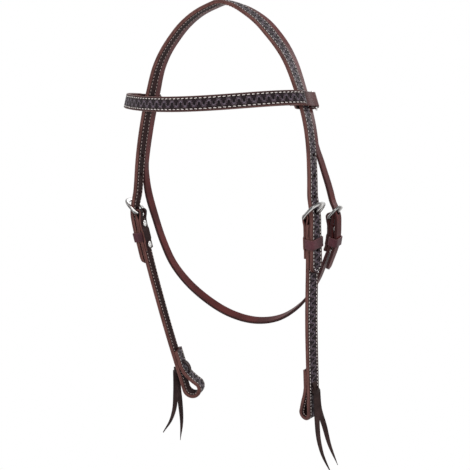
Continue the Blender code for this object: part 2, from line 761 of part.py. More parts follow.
def bit_loop(bottom):
    """The lining's middle: straight down, round the bit loop towards the head, and up again to its end."""
    rest = LINING_THICKNESS / 2
    radius = BIT_LOOP_RADIUS + rest
    middle = bottom - radius - OVERLAY_THICKNESS - SEAT_GAP - rest
    behind = -(SEAT_GAP + rest)
    down = [(middle - BIT_LOOP_THROAT * share, rest) for share in BIT_STRAIGHT_SHARES]
    turn = arc((middle, rest - radius), radius, 0, 205, 12)
    last = turn[-1]
    settle = []
    for rise, share in BIT_SETTLE_SHARES:
        settle.append((middle - BIT_LOOP_THROAT * rise, last[1] + (behind - last[1]) * share))
    up = spread([last] + settle, STATION_STEP / 2)
    end = spread([settle[-1], (bottom - BIT_RETURN_LENGTH, behind)], STATION_STEP)
    return down, turn + up[1:] + end[1:]


def cheekpiece(side):
    """The lining, folded round the buckle and into the bit loop, and the tooled layer that follows it."""
    suffix = "_" + SIDE_NAMES[side]
    fold = crown_fold(side)
    top = fold.folded(FOLD_LENGTH)
    down, loop = bit_loop(cheek_length(side))
    eased = (FOLD_LENGTH + fold.width, LINING_THICKNESS / 2)
    profile = top + spread([top[-1], eased, down[0]], STATION_STEP)[1:] + down[1:] + loop
    mesh = strap_mesh(CROWN, fold.along(profile), STRAP_WIDTH, LINING_THICKNESS)
    lining = add_node("cheek_lining" + suffix, mesh, "lining")
    combine(lining, "cut_cheek_screws" + suffix, cutter(cut_screw_holes, fold), "DIFFERENCE")
    combine(lining, "cut_cheek_slot" + suffix, cutter(cut_tongue_slot, fold), "DIFFERENCE")

    start = next(i for i, (below, out) in enumerate(profile) if below > fold.bend * 2 and out > 0)
    tooled = lifted(profile, OVERLAY_LIFT)[start:]
    mesh = strap_mesh(CROWN, fold.along(tooled), STRAP_WIDTH, OVERLAY_THICKNESS)
    overlay = add_node("cheek_overlay" + suffix, mesh, "tooled")
    combine(overlay, "cut_cheek_seats" + suffix, cutter(cut_screw_seats, fold), "DIFFERENCE")


def wide_stations():
    """Distances over the poll from the off split to the near one, with a flat in the middle."""
    stations = []
    for side, split in ((-1, OFF_SPLIT), (1, NEAR_SPLIT)):
        count = round(split / STATION_STEP)
        stations += [side * s for s in np.linspace(POLL_FLAT / 2, split, count + 1)[::side]]
    return stations


def crown_strap():
    """The crown, slit at both ends into a cheek billet and a throat strap, and the throatlatch."""
    throat = throat_fold()
    t, w, e = LINING_THICKNESS / 2, STRAP_WIDTH / 2, EDGE_ROUND
    edge = w + THROAT_WIDTH
    front_corners = [(e - w, -t), (-w, e - t), (-w, t - e), (e - w, t), (w, t), (w, -t)]
    rear_corners = [(edge - e, t), (edge, t - e), (edge, e - t), (edge - e, -t)]
    mesh = bmesh.new()
    fronts, rears = [], []
    for distance in wide_stations():
        fronts.append(ring(mesh, CROWN, (distance, t), (0.0, 1.0), front_corners))
        rears.append(ring(mesh, CROWN, (distance, t), (0.0, 1.0), rear_corners))
    whole = [front[:5] + rear + front[5:] for front, rear in zip(fronts, rears)]
    join_rings(mesh, zip(whole, whole[1:]))

    for side, split, start in ((-1, OFF_SPLIT, fronts[0]), (1, NEAR_SPLIT, fronts[-1])):
        fold = crown_fold(side)
        rows = with_tip(fold.billet(LINING_THICKNESS, split - HEEL, BILLET_BELOW_HEEL), TIP_LENGTH)
        sides = sides_of([place for place, _ in rows])
        rings = [start]
        for ((below, out), share), (side_s, side_n) in list(zip(rows, sides))[1:]:
            corners = [(across * share, up) for across, up in front_corners]
            rings.append(ring(mesh, CROWN, (fold.at(below), out), (side_s * side, side_n), corners))
        close_branch(mesh, rings)

    # The near throat billet thickens over its first stations, then passes through the throat buckle
    corners = [(across - REAR_MIDDLE, up) for across, up in rear_corners]
    corners = [(-THROAT_WIDTH / 2, t), *corners, (-THROAT_WIDTH / 2, -t)]
    billet = throat.billet(LINING_THICKNESS, THROAT_NEAR_SPLIT, THROAT_BILLET_BELOW_HEEL)
    rows = with_tip(billet, THROAT_TIP_LENGTH)
    sides = sides_of([place for place, _ in rows])
    rings = [[fronts[-1][4], *rears[-1], fronts[-1][5]]]
    for i, ((place, share), side) in list(enumerate(zip(rows, sides)))[1:]:
        tall = 1.0 + (THROAT_THICKNESS / LINING_THICKNESS - 1.0) * min(1.0, i / 5)
        swollen = [(across * share, (up + t) * tall - t) for across, up in corners]
        rings.append(ring(mesh, THROAT, place, side, swollen))
    close_branch(mesh, rings)

    # The throatlatch, from its fold round the throat buckle's heel bar to the split on the off side
    rest = THROAT_THICKNESS / 2
    folded = throat.folded(THROAT_FOLD_LENGTH)
    eased = (THROAT_FOLD_LENGTH + throat.width, rest)
    run = spread([folded[-1], eased, (THROAT_OFF_SPLIT / 2, rest), (THROAT_OFF_SPLIT, rest)], STATION_STEP)
    profile = folded + run[1:]
    w, e = THROAT_WIDTH / 2, EDGE_ROUND * 1.5
    corners = [(-w, rest), (w - e, rest), (w, rest - e), (w, e - rest), (w - e, -rest), (-w, -rest)]
    rings = [ring(mesh, THROAT, *at, corners) for at in zip(profile[:-1], sides_of(profile))]
    rings.append([fronts[0][4], *rears[0], fronts[0][5]])
    close_branch(mesh, rings[::-1])

    made = add_node("crown_strap", mesh, "lining")
    combine(made, "cut_crown_slot", cutter(cut_tongue_slot, throat), "DIFFERENCE")
    near, off = crown_fold(1), crown_fold(-1)
    holes = cutter(cut_tongue_passage, near, off, throat)
    cut_screw_holes(holes, throat)
    for fold in (near, off):
        cut_punched_holes(holes, fold, LINING_THICKNESS / 2)
    combine(made, "cut_crown_holes", holes, "DIFFERENCE")


def close_branch(mesh, rings):
    """A branch that grows from a ring of another strap, closed at its far end."""
    join_rings(mesh, zip(rings, rings[1:]))
    mesh.faces.new(rings[-1])


def crown_overlay():
    """The tooled layer over the front of the crown and both cheek billets."""
    near, off = crown_fold(1), crown_fold(-1)
    wide = [(s, LINING_THICKNESS / 2 + OVERLAY_LIFT) for s in wide_stations()]
    profile = wide[1:-1]
    shares = [1.0] * len(profile)
    for fold, split in ((near, NEAR_SPLIT), (off, OFF_SPLIT)):
        billet = fold.billet(LINING_THICKNESS, split - HEEL, BILLET_BELOW_HEEL - OVERLAY_SHORTER)
        rows = with_tip(lifted(billet, OVERLAY_LIFT), TIP_LENGTH)
        profile += fold.along([place for place, _ in rows])
        shares += [share for _, share in rows]
        profile.reverse()
        shares.reverse()
    mesh = strap_mesh(CROWN, profile, STRAP_WIDTH, OVERLAY_THICKNESS, shares)
    made = add_node("crown_overlay", mesh, "tooled")
    holes = cutter(cut_tongue_passage, near, off)
    for fold in (near, off):
        cut_punched_holes(holes, fold, CROWN_OUTER)
    combine(made, "cut_overlay_holes", holes, "DIFFERENCE")


def tail_mesh(start, side, label):
    """One hanging end of the lace, which tapers to a point and curls away from the head."""
    turn = math.radians(TAIL_TURN_DEGREES[label])
    across = (math.cos(turn), math.sin(turn), 0.0)
    apart = TAIL_SPACING / 2 if label == "trailing" else -TAIL_SPACING / 2
    wide, long = OFF_TAIL_REACH_SHARES[label] if side < 0 else (1.0, 1.0)
    keys = []
    for x, y, z in TAIL_SHARES[label]:
        out = side * (TAIL_STAND_OFF + x * TAIL_CURL * wide)
        keys.append((start.x + out, start.y + apart + y * TAIL_TRAIL, start.z - z * TAIL_LENGTH * long, *across))
    route = Route(keys)
    profile = [(s, 0.0) for s in np.linspace(0.0, route.distance[-1], len(TAIL_WIDTH_SHARES))]
    return strap_mesh(route, profile, TIE_WIDTH, TIE_THICKNESS, TAIL_WIDTH_SHARES)


def bit_tie(side):
    """A flat lace wound round both layers above the bit loop, knotted outside, with two hanging tails."""
    suffix = "_" + SIDE_NAMES[side]
    place = crown_fold(side).matrix(cheek_length(side) - TIE_FROM_LOOP_BOTTOM)
    half = STRAP_WIDTH / 2 + SEAT_GAP + TIE_THICKNESS / 2
    top = CROWN_OUTER + SEAT_GAP + TIE_THICKNESS / 2
    outline = rounded_rectangle((-half, -top - SEAT_GAP), (half, top), TIE_CORNER)
    points = [place @ Vector((x, 0.0, z)) for x, z in outline]
    mesh = bmesh.new()
    corners = section(TIE_WIDTH, TIE_THICKNESS, EDGE_ROUND / 2)
    closed_sweep(mesh, points, place.to_3x3() @ Vector((0.0, 1.0, 0.0)), corners)
    made = add_node("bit_tie" + suffix, mesh, "lace")

    seat = place @ Matrix.Translation((0.0, 0.0, top + KNOT_STAND))
    shape = seat @ Matrix.Diagonal((KNOT_WIDTH / 2, KNOT_HEIGHT / 2, KNOT_DEPTH / 2, 1.0))
    steps = 6
    angles = [math.pi * (i + KNOT_POLE_SHARE) / (steps + 2 * KNOT_POLE_SHARE) for i in range(steps + 1)]
    knot = bmesh.new()
    turned(knot, shape, [(math.sin(a), -math.cos(a)) for a in angles])
    combine(made, "join_knot" + suffix, knot, "UNION")
    for label in TAIL_SHARES:
        combine(made, "join_tail_" + label + suffix, tail_mesh(seat.translation, side, label), "UNION")


def browband_stations(side):
    """Distances from the brow to the crown's front edge, the tooling's end and the loop's outer bar."""
    rear = STRAP_WIDTH / 2 + THROAT_WIDTH
    places = (-STRAP_WIDTH / 2, -TOOLING_STOPS_BEFORE_MIDDLE, rear - LOOP_BEHIND_CROWN)
    crossing = browband_crossing(side)
    return [abs(BROWBAND.nearest(CROWN.place(crossing, place, BROWBAND_OUT))) for place in places]


def loop_bars(reach):
    """Places of a browband loop's outer bar, round which the tab folds, and of its rear bar."""
    radius = LOOP_WIRE / 2 + SEAT_GAP + LINING_THICKNESS / 2
    outer = (reach, -radius * 0.6)
    length = LOOP_DEPTH - LOOP_WIRE
    inwards = (CROWN_OUTER + BROWBAND_SLIDE_ROOM + LINING_THICKNESS) * 0.9
    return radius, outer, (reach + math.sqrt(length**2 - inwards**2), outer[1] - inwards)


def browband():
    """The lining and tooled layers of the browband, with a tab folded round a metal loop at each end."""
    tuck = -(LINING_THICKNESS + SEAT_GAP)
    halves, tooled = {}, {}
    for side in (1, -1):
        _, tooled_end, reach = browband_stations(side)
        radius, outer, _ = loop_bars(reach)
        start = reach - RETURN_FOLD
        rise = outer[1] + radius
        stations = np.linspace(0.0, tooled_end, round(tooled_end / STATION_STEP) + 1)
        tooled[side] = [(side * s, OVERLAY_LIFT) for s in stations]
        places = [(s, 0.0) for s in stations] + [((tooled_end + start) / 2, 0.0), (start, 0.0)]
        places += [(reach - RETURN_FOLD / 2, rise * 0.4), *arc(outer, radius, 0, 180, 6)]
        places += [(reach - RETURN_FOLD / 2, outer[1] - radius * 0.86), (start, tuck)]
        halves[side] = [(side * s, n) for s, n in places]
    for name, places, thickness, finish in (
        ("browband_lining", halves, LINING_THICKNESS, "lining"),
        ("browband_overlay", tooled, OVERLAY_THICKNESS, "tooled"),
    ):
        mesh = strap_mesh(BROWBAND, places[-1][:0:-1] + places[1], BROWBAND_WIDTH, thickness)
        add_node(name, mesh, finish, BROWBAND_SLIDE)


def browband_loop(side):
    """A rectangle of wire behind the crown, which joins the browband's tab to the inner return."""
    _, outer, rear = loop_bars(browband_stations(side)[2])
    first = BROWBAND.place(side * outer[0], 0.0, outer[1])
    second = BROWBAND.place(side * rear[0], 0.0, rear[1])
    across = (second - first).normalized()
    up = Vector(BROWBAND.frame(side * outer[0])[2])
    up = (up - across * up.dot(across)).normalized()
    half = BROWBAND_WIDTH / 2 + LOOP_SIDE_ROOM + LOOP_WIRE / 2
    outline = rounded_rectangle((0.0, -half), ((second - first).length, half), LOOP_CORNER)
    points = [first + across * x + up * y for x, y in outline]
    mesh = bmesh.new()
    closed_sweep(mesh, points, across.cross(up), round_section(LOOP_WIRE))
    add_node("browband_loop_" + SIDE_NAMES[side], mesh, "steel", BROWBAND_SLIDE)


def browband_return(side):
    """The inner strap: folded round the loop's rear bar, then forward inside the crown to the browband."""
    front_edge, _, reach = browband_stations(side)
    radius, _, rear = loop_bars(reach)
    inner = -(BROWBAND_OUT + BROWBAND_SLIDE_ROOM + LINING_THICKNESS / 2)
    meet = -(LINING_THICKNESS + SEAT_GAP + JOIN_ROOM)
    turn = arc(rear, radius, 0, 180, 6)
    joint = front_edge - RETURN_CLEAR
    run = spread(
        [
            turn[-1],
            (rear[0] - RETURN_FOLD / 2, min(inner, turn[-1][1])),
            (rear[0] - RETURN_FOLD, inner),
            (joint, inner),
            (joint - RETURN_JOIN / 2, (inner + meet) / 2),
            (joint - RETURN_JOIN, meet),
            (joint - RETURN_JOIN * 1.4, meet),
        ],
        STATION_STEP / 2,
    )
    profile = [(side * s, n) for s, n in turn + run[1:]]
    mesh = strap_mesh(BROWBAND, profile, BROWBAND_RETURN_WIDTH, LINING_THICKNESS)
    add_node("browband_return_" + SIDE_NAMES[side], mesh, "lining", BROWBAND_SLIDE)


def main():
    clear_scene()
    crown_strap()
    crown_overlay()
    browband()
    for side, name in SIDE_NAMES.items():
        browband_loop(side)
        browband_return(side)
        cheekpiece(side)
        bit_tie(side)
        fasten("cheek", "_" + name, crown_fold(side), SCREW_HEAD)
    fasten("throat", "", throat_fold(), THROAT_SCREW_HEAD)


main()
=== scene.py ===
"""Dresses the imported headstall: tooled and stitched leather, steel buckles and knotted bit ties.

Metres, +Z up, X to the horse's left (the near side), -Y to the front. The straps lie along the same
routes as the solids that they replace, with finer steps, rounded edges and a place on the hide for
every point, which the leather's materials read.
"""

import math

import bmesh
import bpy
import numpy as np
from mathutils import Matrix, Vector


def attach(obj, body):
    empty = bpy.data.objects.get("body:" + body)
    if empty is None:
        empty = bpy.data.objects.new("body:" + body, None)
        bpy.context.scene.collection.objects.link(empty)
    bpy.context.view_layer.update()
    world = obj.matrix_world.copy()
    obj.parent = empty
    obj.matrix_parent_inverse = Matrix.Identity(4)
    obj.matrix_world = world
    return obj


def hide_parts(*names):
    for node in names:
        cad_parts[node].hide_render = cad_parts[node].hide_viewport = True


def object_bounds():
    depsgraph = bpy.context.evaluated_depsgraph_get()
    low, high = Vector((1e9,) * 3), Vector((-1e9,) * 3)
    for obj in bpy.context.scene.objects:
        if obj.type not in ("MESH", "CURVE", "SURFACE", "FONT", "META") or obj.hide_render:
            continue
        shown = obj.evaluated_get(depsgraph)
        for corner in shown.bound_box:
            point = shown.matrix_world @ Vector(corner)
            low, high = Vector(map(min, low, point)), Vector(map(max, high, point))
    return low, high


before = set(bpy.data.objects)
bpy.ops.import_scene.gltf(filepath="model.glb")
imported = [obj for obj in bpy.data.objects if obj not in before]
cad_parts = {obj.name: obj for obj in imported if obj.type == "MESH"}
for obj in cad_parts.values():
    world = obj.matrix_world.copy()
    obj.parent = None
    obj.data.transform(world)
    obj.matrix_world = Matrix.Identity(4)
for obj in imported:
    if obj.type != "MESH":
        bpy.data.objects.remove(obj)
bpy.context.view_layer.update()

# Leather stock
STRAP_WIDTH = 0.01905
THROAT_WIDTH = 0.0127
LINING = 0.0024
TOOLED = 0.0020
THROAT_THICK = 0.0036
GAP = 0.0003
OUTER = LINING + GAP + TOOLED
OVERLAY_DEPTH = TOOLED + GAP * 0.8
OVERLAY_MIDDLE = LINING / 2 + GAP + TOOLED / 2 - GAP / 2
REAR_MIDDLE = (STRAP_WIDTH + THROAT_WIDTH) / 2
FINE_STEP = 0.0026
MERGE = 2e-6

# How far the upper and the lower corners of each strap's section are rounded
LINING_ROUNDS = (0.0004, 0.0009)
OVERLAY_ROUNDS = (0.0010, 0.0003)
BROWBAND_ROUNDS = (0.0006, 0.0009)
RETURN_ROUNDS = (0.0007, 0.0007)
KEEPER_ROUNDS = (0.0005, 0.0003)
LACE_ROUNDS = (0.0005, 0.0005)
TAIL_ROUNDS = (0.0004, 0.0004)
WRAP_ROUNDS = (0.0005, 0.0004)
THROAT_ROUND = 0.0011
# Places across a flat face, as shares of its half width, and turns round a rounded corner
FLAT_SHARES = (-1.0, -0.96, -0.55, 0.0, 0.55, 0.96, 1.0)
CORNER_TURNS = (22.5, 45.0, 67.5)
# Faces on the two sides of a section, left open where straps join, and how far in from there the
# section is drawn out square
SIDE_FACES = {1: range(7, 13), -1: range(21, 27)}
SQUARED = 0.0013

# Stitching
STITCH_PITCH = 0.0045
BROWBAND_PITCH = 0.0056
STITCH_SHARE = 0.65
STITCH_WIDTH = 0.0013
STITCH_INSET = 0.0029
BROWBAND_INSET = 0.0028
STITCH_SLANT = 0.10
INNER_STITCH_SIZE = 0.82
TOP_STITCH_LIFT = TOOLED / 2 + GAP * 0.3
INNER_STITCH_LIFT = LINING / 2 + GAP * 0.2
CHEEK_STITCH_CLEAR = 0.0015
BROWBAND_STITCH_CLEAR = 0.0022

# Crown and cheeks
POLL_FLAT = 0.010
CROWN_HALF_WIDTH = 0.1258
CROWN_DROP = 0.215
HEEL_HALF_WIDTH = 0.1245
HEEL_DROP = 0.2640
NEAR_SPLIT_DROP = 0.176
OFF_SPLIT_DROP = 0.200
SPLIT_STEP = 0.0135
CROWN_YAW = 5.0
CROWN_TURN = 3.0
CHEEK_DROP = 0.248
CHEEK_SWEEP_IN = 0.0305
CHEEK_SWEEP_BACK = 0.068
CHEEK_LENGTH = {1: 0.2675, -1: 0.2605}
CHEEK_TURNS = (5.0, 8.0, 10.0, 12.0, 12.0, 12.0)
# Shares of the crown's half width on the near and the off side, and of its drop
CROWN_ARCH = (
    (0.157, 0.157, 0.023),
    (0.299, 0.299, 0.075),
    (0.441, 0.441, 0.142),
    (0.551, 0.551, 0.212),
    (0.646, 0.646, 0.279),
    (0.720, 0.718, 0.344),
    (0.846, 0.829, 0.512),
    (0.949, 0.921, 0.707),
    (1.000, 0.990, 1.000),
)
# How far the worn-in crown stands out from a plain arch, near and off, and how far it tips, in degrees
CROWN_SETTLE = (
    (-0.0024, -0.0022, 7.0, 4.0),
    (-0.0012, 0.0015, 11.0, 5.0),
    (-0.0004, 0.0035, 13.0, 5.0),
    (0.0, 0.0043, 13.0, 5.0),
    (0.0, 0.0041, 10.5, 5.0),
    (0.0, 0.0034, 7.0, 4.0),
    (0.0, 0.0014, 1.5, 0.0),
    (0.0, 0.0, 0.0, 0.0),
    (0.0, 0.0, 0.0, 0.0),
)
POLL_SETTLE = (-0.0026, 5.0)
# Shares of the cheek's sweep inwards, its sweep back and its drop
CHEEK_LINE = ((0.147, 0.162, 0.194), (0.506, 0.456, 0.520), (1.0, 0.941, 0.956), (1.19, 1.12, 1.12))

# Buckles, folds and screws
BUCKLE = {"width": 0.0325, "length": 0.0262, "wire": 0.0038}
THROAT_BUCKLE = {"width": 0.0235, "length": 0.0195, "wire": 0.0032}
# How much broader than the heel bar each frame's front band is
BAND_SPREAD = {BUCKLE["wire"]: 0.50, THROAT_BUCKLE["wire"]: 0.10}
BUCKLE_TILT = 41.0
BUCKLE_POWER = 2.6
BUCKLE_SHOULDER = 0.30
# The frame's corner beside the bar, in wires inwards and shares of its length
BUCKLE_CORNER = ((0.35, 0.03), (0.0, 0.12))
# Where the bar turns into the band, in shares of the length, and how much flatter the band is
BAND_RAMP = (0.06, 0.30)
BAND_FLAT = 0.08
TONGUE_WIDTH = 0.0030
TONGUE_DEPTH = 0.0024
TONGUE_ROOM = 0.0006
TONGUE_PASSAGE = 0.0031
PASSAGE_LEAN = 1.5
TONGUE_EDGE = 0.00045
FOLD_LENGTH = 0.050
THROAT_FOLD_LENGTH = 0.0458
KEEPER_START = 0.0245
KEEPER_THICK = 0.0016
KEEPER_CORNER = 0.0022
KEEPER_HEIGHT = 0.0120
THROAT_KEEPER_HEIGHT = 0.0110
SCREWS_BELOW = {"upper": 0.0150, "lower": 0.0439}
SCREW_HEAD = 0.0086
THROAT_SCREW_HEAD = 0.0076
SCREW_HEAD_THICK = 0.0012
SCREW_SEAT = 0.0004
SCREW_POST = 0.0042
SCREW_HOLE = 0.0050
SCREW_SLOT = 0.0012
# Places on a billet in buckle lengths, beside a fold in bends and beside a keeper in its heights, each
# with the share of the lift there
BILLET_RISE = ((-2.1, 0.0), (-1.5, 0.04), (-0.9, 0.22), (-0.45, 0.66), (0.0, 1.0), (0.5, 1.0))
FOLD_EASE = ((3.4, 0.0), (2.4, 0.18), (1.3, 0.66))
KEEPER_EASE = ((0.25, 0.0), (0.04, 1.0))

# Billets
TIP_LENGTH = 0.012
THROAT_TIP_LENGTH = 0.008
TIP_POWER = 2.6
TIP_LEAST = 0.06
BILLET_REACH = 0.057 + TIP_LENGTH * 0.96
THROAT_BILLET_REACH = 0.062 + THROAT_TIP_LENGTH * 0.96
OVERLAY_SHORTER = 0.0015
HOLE_PITCH = 0.0245
LOWER_HOLE = 0.0392
HOLE_DIAMETER = 0.0036
PUNCH_REACH = 0.004
# Rows over which the throatlatch thins towards the crown, and over which its billet thickens
LATCH_EASE = 6
BILLET_EASE = 24

# Bit loops. The closing pairs are shares of the throat's height and of the way to the strap behind
BIT_LOOP_RADIUS = {1: 0.0044, -1: 0.0084}
BIT_LOOP_CLOSING = {
    1: ((0.55, 0.36), (1.0, 0.80), (1.34, 1.0)),
    -1: ((0.42, 0.40), (0.86, 0.84), (1.20, 1.0)),
}
BIT_LOOP_SLACK = {1: 0.0020, -1: 0.0}
BIT_LOOP_THROAT = 0.0275
# Degrees that the leather turns round the loop before it closes
BIT_LOOP_SWEEP = 205
BIT_RETURN = 0.069

# Ties
TIE_WIDTH = 0.0065
TIE_THICK = 0.0018
TIE_UP = 0.0405
TIE_STAND = 0.00147
# The lace through the slits, on the strap's inner and outer face: sideways, up along the strap and out
LACE_LIFT = {1: 1.0, -1: 1.24}
INNER_ARCH = (
    (0.0, 0.0105, 0.0030),
    (0.0, 0.0088, 0.0064),
    (0.0003, 0.0050, 0.0083),
    (0.0004, 0.0, 0.0090),
    (0.0003, -0.0045, 0.0082),
    (0.0, -0.0072, 0.0060),
    (0.0, -0.0084, 0.0026),
)
OUTER_ARCH = (
    (0.0, 0.0112, 0.0020),
    (0.0, 0.0098, 0.0050),
    (0.0, 0.0062, 0.0064),
    (0.0, 0.0020, 0.0070),
    (0.0, -0.0030, 0.0068),
)
# The knot's two wraps: turn on the strap, width, depth and lean. Their wave: depth and radians per metre
KNOT_WRAPS = ((0.5, 0.0096, 0.0050, 0.00035), (-0.55, 0.0090, 0.0056, -0.00025))
KNOT_WIDTH = 0.0056
KNOT_CORNER = 0.0022
KNOT_WAVE = (0.0009, 400.0)
KNOT_CORE = (0.0086, 0.0086, 0.0046)
TAIL_LENGTH = 0.101
TAIL_CURL = 0.0185
TAIL_TRAIL = 0.0200
TAIL_APART = 0.0010
TAIL_LEAST = 0.07
TAIL_ROWS = 40
ARCH_ROWS = 26
TAIL_TURNS = {"straight": 62.0, "trailing": 48.0}
# Shares of the tail's curl outwards, of its way back and of its length
TAIL_LINES = {
    "straight": ((0.0, 0.0, 0.0), (0.0, 0.0, 0.33), (0.13, 0.0, 0.63), (0.36, 0.0, 0.78), (1.0, 0.0, 1.0)),
    "trailing": ((0.0, 0.0, 0.0), (0.05, 0.12, 0.22), (0.26, 0.5, 0.46), (0.48, 0.8, 0.7), (1.0, 1.0, 0.95)),
}
# How far each tail curls out and hangs down, its place along the strap, and its drift to the rear
TAIL_REACH = {
    1: {"straight": (1.0, 1.0, -0.0014, 0.0020), "trailing": (1.0, 1.0, 0.0024, 0.0)},
    -1: {"straight": (1.12, 0.86, -0.0023, 0.0), "trailing": (0.52, 1.05, 0.0023, 0.0)},
}

# Browband
BROWBAND_WIDTH = 0.0180
RETURN_WIDTH = 0.0166
BROWBAND_DROP = 0.1245
BROWBAND_TILT = 0.0019
BROWBAND_REACH = 0.104
BROWBAND_SAG = 0.0110
BROWBAND_ROOM = 0.0012
BROWBAND_TAIL = 0.046
BROWBAND_OUT = OUTER + BROWBAND_ROOM + LINING + GAP + LINING / 2
LOOP_DEPTH = 0.0125
LOOP_WIRE = 0.0026
LOOP_CORNER = 0.0018
LOOP_SIDE_ROOM = 0.0005
LOOP_BEHIND = {1: 0.0024, -1: 0.0012}
LOOP_LEAN = 0.55
TOOLING_STOP = {1: 0.0098, -1: 0.0048}
TAB_PLAIN = 0.7
# How far the tab has eased outwards and back in, halfway along its fold
TAB_EASE = (0.4, 0.86)
RETURN_FOLD = 0.0110
RETURN_JOIN = 0.0140
RETURN_CLEAR = 0.0030
JOIN_ROOM = 0.0007

# Throatlatch
THROAT_HEEL = (0.1335, 0.040)
THROAT_DROP = 0.1385
THROAT_BACK = 0.042
THROAT_TURN = 28.0
# Shares of the way from the split to the heel: down and back
NEAR_BILLET_LINE = ((0.30, 0.38), (0.73, 0.88))
# Shares of the heel's half width, of the way back and of the drop
THROAT_LINE = (
    (0.955, 0.22, 0.22),
    (0.865, 0.38, 0.39),
    (0.735, 0.62, 0.60),
    (0.496, 0.88, 0.84),
    (0.269, 0.98, 0.96),
    (0.015, 1.00, 1.00),
    (-0.276, 0.95, 0.95),
    (-0.537, 0.84, 0.82),
    (-0.735, 0.65, 0.65),
    (-0.848, 0.44, 0.48),
    (-0.915, 0.21, 0.27),
    (-0.955, 0.00, 0.06),
)
THROAT_RISE = (0.60, 0.85, 0.60)

# Tooling: a ribbon that winds from row to row, with a drop pressed inside each bend
TOOLING_REPEAT = 0.0116
TOOLING_MARGIN = 0.0012
RIBBON_HALF = 0.00195
BEND_POWER = 2.5
DROP_HALF = (0.00150, 0.0022)
DROP_BACK = 0.0002

# Colours
EDGE_BROWN = (0.145, 0.064, 0.056)
LINING_BROWN = (0.0225, 0.0092, 0.0092)
RED_BROWN = (0.078, 0.0150, 0.0145)
DARK_EDGE = (0.034, 0.0105, 0.0105)
KEEPER_BROWN = (0.074, 0.024, 0.031)
KEEPER_EDGE = (0.150, 0.070, 0.070)
LACE_BROWN = (0.034, 0.019, 0.018)
LACE_EDGE = (0.022, 0.012, 0.011)
# Painted shade inside punched holes and under the tooled layer
HOLE_SHADE = (0.010, 0.004, 0.004)
# Painted shade in the stitch groove and along the border of the tooled field
GROOVE_SHADE = (0.010, 0.006, 0.007)
DROP_DARK = (0.0030, 0.0012, 0.0020)
MARGIN_BROWNS = ((0.034, 0.016, 0.016), (0.066, 0.031, 0.030))
GROUND_PURPLES = ((0.0070, 0.0034, 0.0050), (0.0190, 0.0110, 0.0145))
RIBBON_PURPLES = ((0.038, 0.0250, 0.032), (0.096, 0.069, 0.083))
# Painted highlight colours for the rims round the drops
RIM_HIGHLIGHT_PURPLES = ((0.078, 0.060, 0.080), (0.160, 0.130, 0.168))
WAXED_THREAD = ((0.52, 0.47, 0.44), (0.78, 0.73, 0.70))
WORN_THREAD = ((0.26, 0.19, 0.17), (0.44, 0.35, 0.33))
STEEL = (0.50, 0.49, 0.48)
BUCKLE_STEEL = (0.58, 0.57, 0.56)
WHITE = (1.0, 1.0, 1.0)
PAPER = (0.80, 0.80, 0.80)

SIDES = {1: "near", -1: "off"}


# Camera, at the photograph's angle

camera_data = bpy.data.cameras.new("camera")
camera_data.lens = 90.46
camera_data.sensor_width = 36.0
camera = bpy.data.objects.new("camera", camera_data)
bpy.context.scene.collection.objects.link(camera)
target = Vector((0.0, 0.032, -0.290))
azimuth, elevation = math.radians(32.0), math.radians(2.9)
level = math.cos(elevation)
outwards = Vector((math.sin(azimuth) * level, -math.cos(azimuth) * level, math.sin(elevation)))
camera.location = target + outwards * 1.5
camera.rotation_euler = (-outwards).to_track_quat("-Z", "Y").to_euler()
bpy.context.scene.camera = camera


# Routes


def run_of(points):
    """The distance of each point from the first, along the line through them."""
    steps = np.linalg.norm(np.diff(points, axis=0), axis=1)
    return np.concatenate([[0.0], np.cumsum(steps)])


def read_at(place, places, rows):
    """The row at a place between those of a table."""
    return np.array([np.interp(place, places, column) for column in rows.T])


def axes_matrix(first, second, third, origin):
    columns = np.stack([first, second, third, origin], axis=1)
    return Matrix([*columns.tolist(), [0, 0, 0, 1]])


def smooth_step(share):
    return share * share * (3 - 2 * share)


class Route:
    """A smooth line through points, each with the direction across the strap there."""

    def __init__(self, keys, start_key=0, samples=14, flat=0.0):
        self.flat = flat
        self.samples = samples
        keys = np.array(keys, float)
        chords = np.linalg.norm(np.diff(keys[:, :3], axis=0), axis=1)
        slopes = np.gradient(keys, run_of(keys[:, :3]), axis=0)
        rows = []
        for i, chord in enumerate(chords):
            for t in np.arange(samples) / samples:
                rows.append(
                    (2 * t**3 - 3 * t**2 + 1) * keys[i]
                    + (t**3 - 2 * t**2 + t) * chord * slopes[i]
                    + (3 * t**2 - 2 * t**3) * keys[i + 1]
                    + (t**3 - t**2) * chord * slopes[i + 1]
                )
        rows.append(keys[-1])
        self.rows = np.array(rows)
        self.distance = run_of(self.rows[:, :3])
        self.distance -= self.distance[start_key * samples]
        self.slopes = np.gradient(self.rows[:, :3], self.distance, axis=0)

    def frame(self, distance):
        """The point, and the directions along, across and outwards."""
        inside = min(max(distance, self.distance[0]), self.distance[-1])
        if abs(distance) <= self.flat / 2:
            inside = 0.0
        row = read_at(inside, self.distance, self.rows)
        along = read_at(inside, self.distance, self.slopes)
        along /= np.linalg.norm(along)
        across = row[3:] - along * (row[3:] @ along)
        across /= np.linalg.norm(across)
        return row[:3] + along * (distance - inside), along, across, np.cross(along, across)

    def place(self, distance, sideways=0.0, out=0.0):
        point, _, across, up = self.frame(distance)
        return Vector(point + across * sideways + up * out)

    def matrix(self, distance):
        """Axes across, back along the route, and outwards, with the origin on the route."""
        point, along, across, out = self.frame(distance)
        return axes_matrix(across, -along, out, point)

    def key_distance(self, index):
        return self.distance[:: self.samples][index]

    def distance_at_drop(self, drop):
        drops = -self.rows[:, 2]
        i = int(np.argmax((self.distance > 0) & (drops >= drop)))
        share = (drop - drops[i - 1]) / (drops[i] - drops[i - 1])
        return self.distance[i - 1] + (self.distance[i] - self.distance[i - 1]) * share

    def nearest(self, point):
        gaps = np.array(point) - self.rows[:, :3]
        i = int(np.argmin(np.linalg.norm(gaps, axis=1)))
        return self.distance[i] + gaps[i] @ self.slopes[i]


